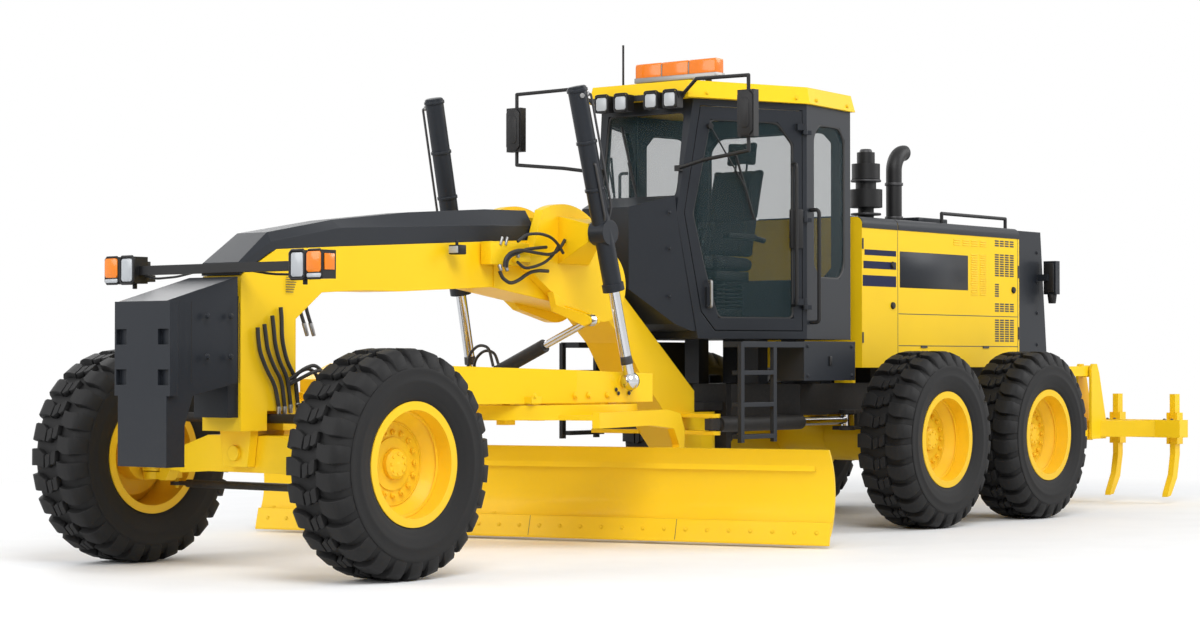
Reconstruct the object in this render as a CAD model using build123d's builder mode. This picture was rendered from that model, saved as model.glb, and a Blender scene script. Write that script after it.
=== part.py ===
"""Six-wheel motor grader with an articulated frame, a front push plate and a rear ripper.

Frame: millimetres, +X forward, +Y to the machine's left, +Z up.
Origin: on the floor, under the articulation pin, on the machine's centreline.
"""
import os
from math import sqrt

from build123d import *

os.makedirs("parts", exist_ok=True)

SIDES = {"left": 1, "right": -1}

# ---------------------------------------------------------------- driving sizes
running = 0.05                 # radial clearance of a shaft in its bore
seat_gap = 0.3                 # gap between a seated piece and the piece that carries it
pin_gap = 6.0                  # side clearance of a moving eye between its ears

# wheels
tyre_r = 650.0                 # to the tips of the lugs
tyre_w = 445.0
lug_h = 24.0                   # height of the tread's lugs
lug_n = 20                     # lugs in each of the two rows
lug_t = 66.0
lug_skew = 10.0
lug_dip = 0.48                 # flat top of a lug, inside the circle of the tips
rim_r = 317.0                  # bead seat
flange_r = 352.0
rim_w = 384.0
rim_wall = 14.0
flange_t = 10.0
disc_r = 243.0
disc_t = 16.0
hub_r = 150.0
hub_in = -112.0                # hub's inner face, from the wheel's middle plane, outward positive
bore_r = 60.0
cap_r = 86.0
track = 2155.0
wheel_y = track / 2
front_x = 4300.0
tandem_x = -2195.0
tandem_pitch = 1525.0

# articulation and rear frame
hitch_pin_r = 60.0
hitch_z0 = 592.0               # underside of the neck's foot
hitch_z1 = 862.0               # its top, at the pin
hitch_r = 165.0
ear_r = 120.0
ear_t = 60.0
ear_gap = 8.0
bulkhead_x = -215.0
rail_y = 420.0
rail_w = 90.0
rail_z0 = 830.0
rail_z1 = 1060.0
rail_x0 = -4150.0
rail_x1 = -700.0

# articulation cylinders
turn_z = 785.0
turn_front = (438.0, 500.0)    # barrel pin on the front frame
turn_rear = (-1270.0, 500.0)   # rest place of the rod's eye at the rear frame
turn_barrel_r = 55.0
turn_rod_r = 30.0
turn_barrel_l = 1080.0
eye_r = 52.0
eye_w = 80.0
small_pin_r = 25.0

# front frame
beam_w = 320.0
axle_z = tyre_r
pivot_z = 690.0
nose_x0 = front_x - 167
nose_x1 = front_x + 275
nose_z0 = 820.0

# steering axle
king_y = wheel_y - 197.5
lean_y = king_y - 190
lean_z = 630.0
lean_pin_r = 32.0
bar_z = 890.0
bar_r = 28.0
king_r = 42.0
arm_x = -180.0                 # tie rod ball, from the kingpin
tie_z = 478.0
tie_r = 24.0
tie_neck_r = 14.0
tie_pin_r = 11.0
tie_bore = 31.0                # the right ring's play round its pin

# blade group
ball = (front_x - 350, 0.0, 930.0)    # drawbar ball
ball_r = 70.0
circle_x = 1890.0
circle_r = 765.0
circle_in_r = 640.0
tooth_n = 64
tooth_h = 18.0
tooth_t = 26.0
circle_z0 = 850.0
circle_z1 = 945.0
blade_deg = 15.1
blade_u = -584.0               # cutting edge, ahead of the circle's axis
blade_shift = -218.8           # blade's middle, left of the circle's axis
blade_len = 4320.0
blade_h = 625.0
blade_t = 25.0
edge_gap = 20.0                # cutting edge above the floor
blade_bulge = 105.0
tip_u = -800.0
tip_z = 260.0
tip_pin_r = 30.0
blade_arm_v = 780.0
blade_arm_t = 50.0

# lift cylinders
lift_top = (2074.0, 618.0, 2983.0)
lift_trunnion_z = 2056.0
lift_ball = (1600.0, 685.0, 1095.0)
lift_barrel_r = 62.0
lift_rod_r = 36.0
lift_barrel_z0 = 1680.0
trunnion_r = 34.0

# cab
cab_floor_z = 1380.0
cab_top_z = 3050.0
cab_rear = (-1010.0, 700.0)
cab_pillar = (-314.0, 785.0)
cab_front = (650.0, 350.0)
cab_brow_x = 525.0
cab_brow_z = 2250.0
cab_toe_x = 494.0
cab_wall = 45.0
door_gap = 6.0
door_open_z = 1435.0

# hood
hood_half = 620.0
hood_x0 = -3650.0
hood_x1 = -1290.0
hood_z0 = 1175.0
hood_z1 = 2300.0
hood_wall = 30.0


# ripper
hitch_x = rail_x0 - 90         # front pins of the ripper's links
link_z = (600.0, 1137.0)
rip_pin_r = 28.0
rip_top = (-4275.0, 0.0, 1400.0)


def save(piece, name, place=Location()):
    solid = piece.part.moved(place)
    solid.label = name
    export_step(solid, f"parts/{name}.step")


def dist(a, b):
    return sqrt(sum((q - p) ** 2 for p, q in zip(a, b)))


def along(start, end, share):
    """Point at a share of the way from start to end."""
    return tuple(a + (b - a) * share for a, b in zip(start, end))


def reach(start, end, distance):
    """Point at a distance from start towards end."""
    return along(start, end, distance / dist(start, end))


def sided(point, side):
    return (point[0], point[1] * side, point[2])


def bar(start, end, radius, inner=0.0):
    """Round bar, or tube, from start to end."""
    line = Vector(*end) - Vector(*start)
    with BuildPart() as piece:
        with BuildSketch(Plane(origin=start, z_dir=line)):
            Circle(radius)
            if inner:
                Circle(inner, mode=Mode.SUBTRACT)
        extrude(amount=line.length)
    return piece.part


def block(x, y, z):
    """Box between the two limits given for each axis."""
    with BuildPart() as piece:
        with Locations(((x[0] + x[1]) / 2, (y[0] + y[1]) / 2, (z[0] + z[1]) / 2)):
            Box(abs(x[1] - x[0]), abs(y[1] - y[0]), abs(z[1] - z[0]))
    return piece.part


def side_plate(points, y0, y1):
    """Plate cut to an outline of (x, z) points, from y0 to y1."""
    with BuildPart() as piece:
        with BuildSketch(Plane(origin=(0, y0, 0), x_dir=(1, 0, 0), z_dir=(0, -1, 0))):
            with BuildLine():
                Polyline(*points, close=True)
            make_face()
        extrude(amount=-(y1 - y0))
    return piece.part


def flat_plate(points, z0, z1):
    """Plate cut to an outline of (x, y) points, from z0 to z1."""
    with BuildPart() as piece:
        with BuildSketch(Plane.XY.offset(z0)):
            with BuildLine():
                Polyline(*points, close=True)
            make_face()
        extrude(amount=z1 - z0)
    return piece.part


def cross_plate(points, x0, x1):
    """Plate cut to an outline of (y, z) points, from x0 to x1."""
    with BuildPart() as piece:
        with BuildSketch(Plane.YZ.offset(x0)):
            with BuildLine():
                Polyline(*points, close=True)
            make_face()
        extrude(amount=x1 - x0)
    return piece.part


# ================================================================ wheels
def tyre_outline():
    half = tyre_w / 2
    bead = rim_w / 2 - flange_t - seat_gap
    carcass_r = tyre_r - lug_h
    outer = [(rim_r, bead), (flange_r + 3, bead), (flange_r + 22, bead + 20), (rim_r + 150, half),
             (tyre_r - 98, half - 4), (carcass_r - 22, half - 14), (carcass_r, half - 60)]
    return outer + [(r, -y) for r, y in reversed(outer)]


def lug_solid():
    """Lug of the left row, at the top of a tyre that turns about Y through the origin."""
    half = tyre_w / 2
    with BuildPart() as lug:
        with BuildSketch(Plane.YZ.rotated((0, lug_skew, 0))):
            Polygon((6, tyre_r - lug_h - 15), (10, tyre_r - lug_dip), (half - 62, tyre_r - lug_dip), (half - 9, tyre_r - 32),
                    (half - 3, tyre_r - 96), (half - 24, tyre_r - 96), (half - 62, tyre_r - lug_h - 15), align=None)
        extrude(amount=lug_t / 2, both=True)
    return lug.part


def rim_outline():
    edge = rim_w / 2
    barrel = rim_r - rim_wall
    return [(bore_r, hub_in), (hub_r, hub_in), (hub_r, 0), (disc_r, 0), (barrel, 70), (barrel, -edge),
            (flange_r, -edge), (flange_r, -edge + flange_t), (rim_r - seat_gap, -edge + flange_t),
            (rim_r - seat_gap, edge - flange_t), (flange_r, edge - flange_t), (flange_r, edge), (barrel, edge),
            (barrel, 70 + disc_t), (disc_r, disc_t), (cap_r, disc_t), (cap_r, disc_t + 36),
            (cap_r - 16, disc_t + 48), (0, disc_t + 52), (0, 0), (bore_r, 0)]


WHEELS = {  # name: (x, side)
    "front_left": (front_x, 1),
    "front_right": (front_x, -1),
    "tandem_front_left": (tandem_x + tandem_pitch / 2, 1),
    "tandem_front_right": (tandem_x + tandem_pitch / 2, -1),
    "tandem_rear_left": (tandem_x - tandem_pitch / 2, 1),
    "tandem_rear_right": (tandem_x - tandem_pitch / 2, -1),
}

with BuildPart() as tyre:
    with BuildSketch(Plane.XY):
        with BuildLine():
            Polyline(*tyre_outline(), close=True)
        make_face()
    revolve(axis=Axis.Y)
    lug = lug_solid()
    pitch = 360 / lug_n
    for turn, start in ((0, 0), (180, pitch / 2)):
        turned = lug.moved(Location((0, 0, 0), (0, 0, turn)))
        add([turned.moved(Location((0, 0, 0), (0, start + k * pitch, 0))) for k in range(lug_n)])

for wheel, (wheel_x, side) in WHEELS.items():
    save(tyre, f"tyre_{wheel}", Location((wheel_x, side * wheel_y, axle_z)))
    # the sketch's x is the radius, and its y runs outward along the axle
    turning = Plane(origin=(wheel_x, side * wheel_y, axle_z), x_dir=(1, 0, 0), z_dir=(0, 0, side))
    spin = Axis((wheel_x, side * wheel_y, axle_z), (0, 1, 0))
    with BuildPart() as rim:
        with BuildSketch(turning):
            with BuildLine():
                Polyline(*rim_outline(), close=True)
            make_face()
        revolve(axis=spin)
    save(rim, f"rim_{wheel}")


def spindle(x, side, inner_y):
    """Shaft that a wheel turns on, from inner_y outward into the hub's blind bore."""
    return bar((x, side * inner_y, axle_z), (x, side * (wheel_y - 4), axle_z), bore_r - running)


# ================================================================ rear frame
ear_low = hitch_z0 - ear_gap
ear_high = hitch_z1 + ear_gap
hitch_mid = (ear_low - ear_t, ear_high + ear_t)
with BuildPart() as rear_frame:
    for z0, z1 in ((ear_low - ear_t, ear_low), (ear_high, ear_high + ear_t)):
        with BuildSketch(Plane.XY.offset(z0)):
            Circle(ear_r)
            with Locations((bulkhead_x / 2, 0)):
                Rectangle(-bulkhead_x, 2 * ear_r)
        extrude(amount=z1 - z0)
    add(bar((0, 0, hitch_mid[0]), (0, 0, hitch_mid[1]), hitch_pin_r - running))
    add(block((bulkhead_x - 60, bulkhead_x), (-ear_r - 30, ear_r + 30), (hitch_mid[0], rail_z1)))
    add(flat_plate([(bulkhead_x - 60, 150), (rail_x1, rail_y + rail_w / 2), (rail_x1 - 120, rail_y + rail_w / 2),
                    (rail_x1 - 120, -rail_y - rail_w / 2), (rail_x1, -rail_y - rail_w / 2),
                    (bulkhead_x - 60, -150)], rail_z0, rail_z1))
    add(side_plate([(bulkhead_x - 60, hitch_mid[0]), (bulkhead_x - 60, rail_z0), (rail_x1, rail_z0)], -40, 40))
    for side in SIDES.values():
        add(block((rail_x0, rail_x1), (side * rail_y - rail_w / 2, side * rail_y + rail_w / 2), (rail_z0, rail_z1)))
    for x in (-1600, -2900, rail_x0 + 40):
        add(block((x - 40, x + 40), (-rail_y, rail_y), (rail_z0 + 20, rail_z1 - 20)))
    # clevises that hold the rods of the articulation cylinders
    clevis_half = eye_w / 2 + pin_gap
    for side in SIDES.values():
        for z0 in (turn_z - clevis_half - 28, turn_z + clevis_half):
            with BuildSketch(Plane.XY.offset(z0)):
                with Locations((turn_rear[0], side * turn_rear[1])):
                    Circle(60)
                with Locations((turn_rear[0] - 90, side * (rail_y + 20))):
                    Rectangle(200, 130)
            extrude(amount=28)
        add(block((turn_rear[0] - 190, turn_rear[0] - 130), (side * (rail_y - 45), side * (rail_y + 85)),
                  (turn_z - clevis_half - 28, rail_z0)))
    # ripper hitch: two plates behind the frame with the pins of both links
    for side in SIDES.values():
        for y0 in (480, 640):
            add(side_plate([(rail_x0 - 20, 480), (rail_x0 - 140, 480), (rail_x0 - 160, 560), (rail_x0 - 160, 1180),
                            (rail_x0 - 60, 1230), (rail_x0 + 60, 1060), (rail_x0 + 60, 830)],
                           side * y0, side * (y0 + 26)))
        for z in link_z:
            add(bar((hitch_x, side * 480, z), (hitch_x, side * 666, z), rip_pin_r - running))
    add(block((rail_x0 - 20, rail_x0 + 60), (-660, 660), (rail_z0 + 10, rail_z1 - 10)))
    # bracket of the ripper cylinder
    for y0, y1 in ((-84, -60), (60, 84)):
        add(side_plate([(-4330, 1400), (-4300, 1440), (-4250, 1440), (-4195, 1380), (-4195, 1040), (-4160, 900),
                        (-4240, 900)], y0, y1))
    add(bar((rip_top[0], -84, rip_top[2]), (rip_top[0], 84, rip_top[2]), small_pin_r - running))
save(rear_frame, "rear_frame")

# ================================================================ tandem axle
diff_r = 205.0
case_y1 = wheel_y - tyre_w / 2 - 13
case_y0 = case_y1 - 147
case_r = 185.0
carrier_r = 140.0
with BuildPart() as tandem_axle:
    add(bar((tandem_x, -case_y0 - 20, axle_z), (tandem_x, case_y0 + 20, axle_z), 140))
    with BuildSketch(Plane(origin=(tandem_x, -190, axle_z), x_dir=(1, 0, 0), z_dir=(0, 1, 0))):
        Circle(diff_r)
    extrude(amount=380)
    for side in SIDES.values():
        add(block((tandem_x - 130, tandem_x + 130), (side * (rail_y - 45), side * (rail_y + 45)),
                  (axle_z + 60, rail_z0 - seat_gap)))
        with BuildSketch(Plane(origin=(tandem_x, side * case_y0, axle_z), x_dir=(1, 0, 0), z_dir=(0, side, 0))):
            SlotCenterToCenter(tandem_pitch, 2 * case_r)
        extrude(amount=case_y1 - case_y0)
        for x in (tandem_x - tandem_pitch / 2, tandem_x + tandem_pitch / 2):
            add(bar((x, side * case_y1, axle_z), (x, side * (wheel_y + hub_in - 4), axle_z), carrier_r))
            add(spindle(x, side, case_y1))
save(tandem_axle, "tandem_axle")

# ================================================================ engine and hood
engine_x = (-3400.0, -1750.0)
engine_half = 400.0
engine_top = 1950.0
with BuildPart() as engine_block:
    add(block(engine_x, (-engine_half, engine_half), (rail_z1 + seat_gap, engine_top)))
save(engine_block, "engine_block")

hood_edge_r = 55.0
with BuildPart() as hood:
    add(block((hood_x0, hood_x1), (-hood_half, hood_half), (hood_z0, hood_z1)))
    fillet(hood.edges().filter_by(Axis.X).group_by(Axis.Z)[-1], hood_edge_r)
    add(block((hood_x0 + hood_wall, hood_x1 - hood_wall), (-hood_half + hood_wall, hood_half - hood_wall),
              (hood_z0 - 10, hood_z1 - hood_wall)), mode=Mode.SUBTRACT)
    # feet that stand on the rails
    for side in SIDES.values():
        for x in (hood_x0 + 15, hood_x1 - 15):
            add(block((x - 15, x + 15), (side * (rail_y - 45), side * (rail_y + 120)),
                      (rail_z1 + seat_gap, hood_z0 + 60)))
save(hood, "hood")

guard_half = 590.0
guard_x0 = -4150.0
guard_z = (1300.0, 2290.0)
with BuildPart() as radiator_guard:
    add(side_plate([(hood_x0 - seat_gap, guard_z[0]), (guard_x0 - 10, guard_z[0]), (guard_x0 + 90, guard_z[1]),
                    (hood_x0 - seat_gap, guard_z[1])], -guard_half, guard_half))
    # vertical slots of the rear grille
    for k in range(-5, 6):
        add(block((guard_x0 - 60, guard_x0 + 130), (k * 92 - 26, k * 92 + 26), (guard_z[0] + 90, guard_z[1] - 90)),
            mode=Mode.SUBTRACT)
    for side in SIDES.values():
        add(block((-4060, -3960), (side * (rail_y - 45), side * (rail_y + 45)),
                  (rail_z1 + seat_gap, guard_z[0] + 5)))
        # rear lamps on their brackets
        add(block((-4050, -4000), (side * (guard_half - 5), side * 690), (1885, 1940)))
        add(block((-4110, -4040), (side * 630, side * 742), (1775, 2050)))
save(radiator_guard, "radiator_guard")

exhaust_x, exhaust_y = -2330.0, 250.0
exhaust_r = 62.0
cleaner_x, cleaner_y = -2080.0, 150.0
CLEANER = [  # radius, bottom, top
    (62, hood_z1 + seat_gap, 2420), (128, 2420, 2560), (80, 2560, 2640), (110, 2640, 2760), (70, 2760, 2850)]
with BuildPart() as stacks:
    with BuildLine() as flow:
        Line((exhaust_x, exhaust_y, hood_z1 + seat_gap), (exhaust_x, exhaust_y, 2715))
        TangentArc((exhaust_x, exhaust_y, 2715), (exhaust_x - 150, exhaust_y, 2865), tangent=(0, 0, 1))
    with BuildSketch(Plane.XY.offset(hood_z1 + seat_gap)):
        with Locations((exhaust_x, exhaust_y)):
            Circle(exhaust_r)
            Circle(exhaust_r - 5, mode=Mode.SUBTRACT)
    sweep()
    for r, z0, z1 in CLEANER:
        add(bar((cleaner_x, cleaner_y, z0), (cleaner_x, cleaner_y, z1), r))
    # handrail along the hood's top
    for side in SIDES.values():
        rail_top = [(-3600, side * 520, hood_z1 + seat_gap), (-3600, side * 520, 2385), (-2600, side * 520, 2385),
                    (-2600, side * 520, hood_z1 + seat_gap)]
        for start, end in zip(rail_top, rail_top[1:]):
            add(bar(start, end, 14))
        for point in rail_top[1:3]:
            with Locations(point):
                Sphere(14)
save(stacks, "stacks")

# ================================================================ cab
cab_half = [(cab_front[0], cab_front[1]), cab_pillar, cab_rear]
cab_outline = cab_half + [(x, -y) for x, y in reversed(cab_half)]
brow = [(cab_rear[0] - 50, cab_floor_z), (cab_toe_x, cab_floor_z), (cab_front[0], cab_brow_z),
        (cab_brow_x, cab_top_z), (cab_rear[0] - 50, cab_top_z)]


def wall_plane(start, end, side):
    """Upright plane on the cab's side, its x along the wall and its y up."""
    dx, dy = end[0] - start[0], (end[1] - start[1]) * side
    return Plane(origin=(start[0], start[1] * side, 0), x_dir=(dx, dy, 0), z_dir=(dy, -dx, 0))


door_run = dist(cab_pillar, cab_front)
door_share = door_run / (cab_front[0] - cab_pillar[0])
brow_s = [(cab_toe_x - cab_pillar[0]) * door_share, door_run, (cab_brow_x - cab_pillar[0]) * door_share]
post = 60.0


def slope_s(z):
    """Front edge of the cab's side wall, along the wall, at height z."""
    if z > cab_brow_z:
        share = (z - cab_brow_z) / (cab_top_z - cab_brow_z)
        return brow_s[1] + (brow_s[2] - brow_s[1]) * share
    share = (z - cab_floor_z) / (cab_brow_z - cab_floor_z)
    return brow_s[0] + (brow_s[1] - brow_s[0]) * share


def door_outline(inset):
    """Door opening in the side wall, drawn in by inset."""
    low, high = door_open_z + inset, cab_top_z - 45 - inset
    front = post + inset
    return [(35 + inset, low), (slope_s(low + 130) - front - 110, low), (slope_s(low + 130) - front, low + 130),
            (slope_s(cab_brow_z) - front, cab_brow_z), (slope_s(high) - front, high), (35 + inset, high)]


def upright(outline, start, end, side, depth, lift=0.0):
    """Plate on the cab's side wall, lifted out of it and depth thick toward the inside."""
    plane = wall_plane(start, end, side)
    with BuildPart() as piece:
        with BuildSketch(plane.offset(-lift * side)):
            with BuildLine():
                Polyline(*outline, close=True)
            make_face()
        extrude(amount=depth * side)
    return piece.part


def rounded_window(x0, x1, z0, z1, corner):
    """Window outline with its corners cut."""
    return [(x0 + corner, z0), (x1 - corner, z0), (x1, z0 + corner), (x1, z1 - corner), (x1 - corner, z1),
            (x0 + corner, z1), (x0, z1 - corner), (x0, z0 + corner)]


hinge_out = 26.0
hinge_r = 18.0
hinge_pin_r = 10.0
hinge_s = 30.0
HINGE_Z = (1620.0, 2240.0, 2860.0)
quarter_run = dist(cab_pillar, cab_rear)


def hinge_point(side, z):
    """Point on a door's hinge line."""
    plane = wall_plane(cab_pillar, cab_front, side)
    return tuple(plane.from_local_coords(Vector(hinge_s, z, -hinge_out * side)))


with BuildPart() as cab_frame:
    with BuildSketch(Plane.XY.offset(cab_floor_z)):
        Polygon(*cab_outline, align=None)
    extrude(amount=cab_top_z - cab_floor_z)
    add(side_plate(brow, -900, 900), mode=Mode.INTERSECT)
    # hollow inside, open at the top
    with BuildPart(mode=Mode.PRIVATE) as cabin_air:
        with BuildSketch(Plane.XY.offset(cab_floor_z + 60)):
            Polygon(*cab_outline, align=None)
            offset(amount=-cab_wall, kind=Kind.INTERSECTION, mode=Mode.REPLACE)
        extrude(amount=cab_top_z - cab_floor_z)
        add(side_plate([(x - 55 if x > 0 else x, z if z < cab_top_z else z + 100) for x, z in brow], -900, 900),
            mode=Mode.INTERSECT)
    add(cabin_air.part, mode=Mode.SUBTRACT)
    for side in SIDES.values():
        add(upright(door_outline(0), cab_pillar, cab_front, side, cab_wall + 20, 10), mode=Mode.SUBTRACT)
        add(upright(rounded_window(110, quarter_run - 90, 1820, 2920, 90), cab_pillar, cab_rear, side,
                    -cab_wall - 20, -10), mode=Mode.SUBTRACT)
    # windscreen and rear window
    with BuildSketch(Plane.YZ.offset(200)):
        Polygon((-285, 2290), (285, 2290), (335, 2400), (335, 2960), (-335, 2960), (-335, 2400), align=None)
    extrude(amount=600, mode=Mode.SUBTRACT)
    with BuildSketch(Plane.YZ.offset(cab_rear[0] - 20)):
        Polygon(*rounded_window(-560, 560, 1820, 2920, 90), align=None)
    extrude(amount=cab_wall + 40, mode=Mode.SUBTRACT)
    # hinge lugs and pins
    for side in SIDES.values():
        for z in HINGE_Z:
            low, high = hinge_point(side, z - 30), hinge_point(side, z)
            add(bar(low, high, hinge_r))
            add(upright([(-20, z - 30), (hinge_s, z - 30), (hinge_s, z), (-20, z)], cab_pillar, cab_front, side,
                        hinge_out + 10, hinge_out + 8))
            add(bar(high, hinge_point(side, z + 48), hinge_pin_r - running))
    # mounts on the frame's deck
    for side in SIDES.values():
        for x in (-900, -420):
            add(block((x - 60, x + 60), (side * 200, side * 330), (rail_z1 + seat_gap, cab_floor_z + 5)))
save(cab_frame, "cab_frame")

for name, side in SIDES.items():
    with BuildPart() as door:
        add(upright(door_outline(door_gap), cab_pillar, cab_front, side, cab_wall - 5))
        low, high = door_open_z + 90, cab_top_z - 140
        add(upright([(110, low), (slope_s(low) - 190, low), (slope_s(low + 330) - 150, low + 330),
                     (slope_s(cab_brow_z) - 130, cab_brow_z), (slope_s(high) - 160, high), (240, high),
                     (110, high - 150)],
                    cab_pillar, cab_front, side, cab_wall + 20, 10), mode=Mode.SUBTRACT)
        for z in HINGE_Z:
            barrel_low, barrel_high = hinge_point(side, z + seat_gap), hinge_point(side, z + 46)
            add(upright([(hinge_s, z + seat_gap), (95, z + seat_gap), (95, z + 46), (hinge_s, z + 46)], cab_pillar,
                        cab_front, side, hinge_out + 2, hinge_out + 8))
            add(upright([(60, z + seat_gap), (95, z + seat_gap), (95, z + 46), (60, z + 46)], cab_pillar,
                        cab_front, side, 14, 10))
            add(bar(barrel_low, barrel_high, hinge_r))
            add(bar(hinge_point(side, z - 5), hinge_point(side, z + 60), hinge_pin_r), mode=Mode.SUBTRACT)
        # handle
        add(upright([(slope_s(1650) - 150, 1600), (slope_s(1650) - 110, 1600), (slope_s(1650) - 110, 1740),
                     (slope_s(1650) - 150, 1740)], cab_pillar, cab_front, side, 30, 26))
    save(door, f"door_{name}")

roof_t = 120.0
roof_front = cab_brow_x + 110
with BuildPart() as cab_roof:
    with BuildSketch(Plane.XY.offset(cab_top_z + seat_gap)):
        Polygon((roof_front, 440), (cab_pillar[0], cab_pillar[1] + 30), (cab_rear[0] - 30, cab_rear[1] + 25),
                (cab_rear[0] - 30, -cab_rear[1] - 25), (cab_pillar[0], -cab_pillar[1] - 30), (roof_front, -440),
                align=None)
    extrude(amount=roof_t, taper=12)
save(cab_roof, "cab_roof")

# black nose panel between the windscreen and the neck
nose_tip_x = 1000.0
with BuildPart() as cab_nose:
    with BuildSketch(Plane.XY.offset(1400)):
        Polygon((cab_toe_x - 40, 430), (cab_front[0], 350), (nose_tip_x, 205), (nose_tip_x, -205),
                (cab_front[0], -350), (cab_toe_x - 40, -430), align=None)
    extrude(amount=970)
    toe_x = cab_toe_x + (cab_front[0] - cab_toe_x) * 52 / (cab_brow_z - cab_floor_z)
    add(side_plate([(toe_x + 0.4, cab_floor_z + 52), (toe_x + 30, cab_floor_z + 52), (cab_front[0] + 10, 1480),
                    (nose_tip_x, 1715), (nose_tip_x, 2280), (cab_front[0] + 9, 2370),
                    (cab_front[0] + 0.4, cab_brow_z)], -500, 500), mode=Mode.INTERSECT)
save(cab_nose, "cab_nose")

with BuildPart() as cab_seat:
    add(block((-480, 20), (-250, 250), (1860, 1990)))
    fillet(cab_seat.edges().filter_by(Axis.Y), 45)
    add(side_plate([(-360, 1960), (-480, 1960), (-640, 2640), (-560, 2660)], -240, 240))
    add(side_plate([(-575, 2650), (-650, 2650), (-680, 2850), (-600, 2850)], -140, 140))
    add(block((-400, -60), (-180, 180), (cab_floor_z + 60 + seat_gap, 1870)))
save(cab_seat, "cab_seat")

with BuildPart() as cab_console:
    add(side_plate([(250, cab_floor_z + 60 + seat_gap), (380, cab_floor_z + 60 + seat_gap), (340, 2080), (250, 2120)],
                   -150, 150))
    column = Plane(origin=(215, 0, 2150), x_dir=(0, 1, 0), z_dir=(-0.45, 0, 0.89))
    with BuildSketch(column):
        Circle(32)
    extrude(amount=-110)
    with Locations(column):
        Torus(190, 16)
        Box(360, 26, 14)
save(cab_console, "cab_console")

# work lamps, beacon bar, aerial and mirrors that stand on the cab
roof_z = cab_top_z + seat_gap + roof_t + seat_gap
with BuildPart() as cab_fittings:
    for y in (-261, -91, 174, 339):
        add(block((roof_front + 5, roof_front + 75), (y - 62, y + 62), (2975, 3090)))
    add(block((roof_front + seat_gap, roof_front + 20), (-410, 410), (cab_top_z - 5, 3085)))
    add(block((110, 190), (-350, 350), (roof_z + 60, roof_z + 190)))
    for y in (-250, 250):
        add(block((130, 170), (y - 25, y + 25), (roof_z, roof_z + 65)))
    add(bar((300, -390, roof_z), (300, -390, roof_z + 330), 8))
    # mirrors on their tube loops
    foot_z = (2540, 2580)
    brow_lean = (cab_front[0] - cab_brow_x) / (cab_top_z - cab_brow_z)
    for side in SIDES.values():
        foot_x = cab_front[0] - (foot_z[0] - cab_brow_z) * brow_lean + seat_gap
        add(block((foot_x, foot_x + 35), (side * 325, side * 372), foot_z))
        loop = [(roof_front + 12, side * 400, cab_top_z + 15), (700, side * 560, 3160), (738, side * 1023, 3150),
                (738, side * 1023, 2640), (700, side * 620, 2600), (foot_x + 20, side * 352, 2560)]
        for start, end in zip(loop, loop[1:]):
            add(bar(start, end, 13))
        for point in loop[1:5]:
            with Locations(point):
                Sphere(13)
        add(block((715, 775), (side * 957, side * 1090), (2733, 3050)))
save(cab_fittings, "cab_fittings")

# ================================================================ side boxes and ladders
box_x = (-916.0, -254.0)
ladder_x = (110.0, 500.0)
ladder_y = (775.0, 805.0)
with BuildPart() as side_boxes:
    for side in SIDES.values():
        add(block(box_x, (side * 560, side * 800), (rail_z1 + 25, cab_floor_z - 15)))
        add(block((box_x[0] + 40, -740), (side * (rail_y - 45), side * 620), (rail_z1 + seat_gap, rail_z1 + 60)))
        add(block((-254, ladder_x[1]), (side * 640, side * ladder_y[1]), (cab_floor_z - 60, cab_floor_z - 20)))
        for x in ladder_x:
            add(block((x - 20, x + 20), (side * ladder_y[0], side * ladder_y[1]), (665, cab_floor_z - 25)))
        for z in (690, 910, 1130):
            add(block(ladder_x, (side * (ladder_y[0] - 60), side * ladder_y[1]), (z, z + 30)))
save(side_boxes, "side_boxes")

# ================================================================ front frame
neck_half = 170.0
pivot_pin_r = 45.0
slot_x = (front_x - 65, front_x + 65)
slot_z = 935.0
BEAM = [(nose_x1, 1718), (front_x - 10, 1880), (front_x - 536, 1914), (2364, 1996), (2300, 1999), (2300, 1688),
        (2383, 1700), (front_x - 1072, 1655), (front_x - 709, 1653), (front_x - 384, 1634), (nose_x0, 1474), (nose_x0, nose_z0), (slot_x[0], nose_z0),
        (slot_x[0], slot_z), (slot_x[1], slot_z), (slot_x[1], nose_z0), (nose_x1, nose_z0)]
NECK = [(120, hitch_z1), (200, hitch_z1), (200, 1013), (600, 1337), (1077, 1723), (1500, 2040), (2364, 1996),
        (2364, 1697), (1379, 1560), (1211, 1523), (996, 1348), (828, 1136), (272, 597), (120, hitch_z0)]
BOLSTERS = [(nose_x0 + 2, nose_x0 + 62), (front_x + 105, front_x + 165)]
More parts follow.
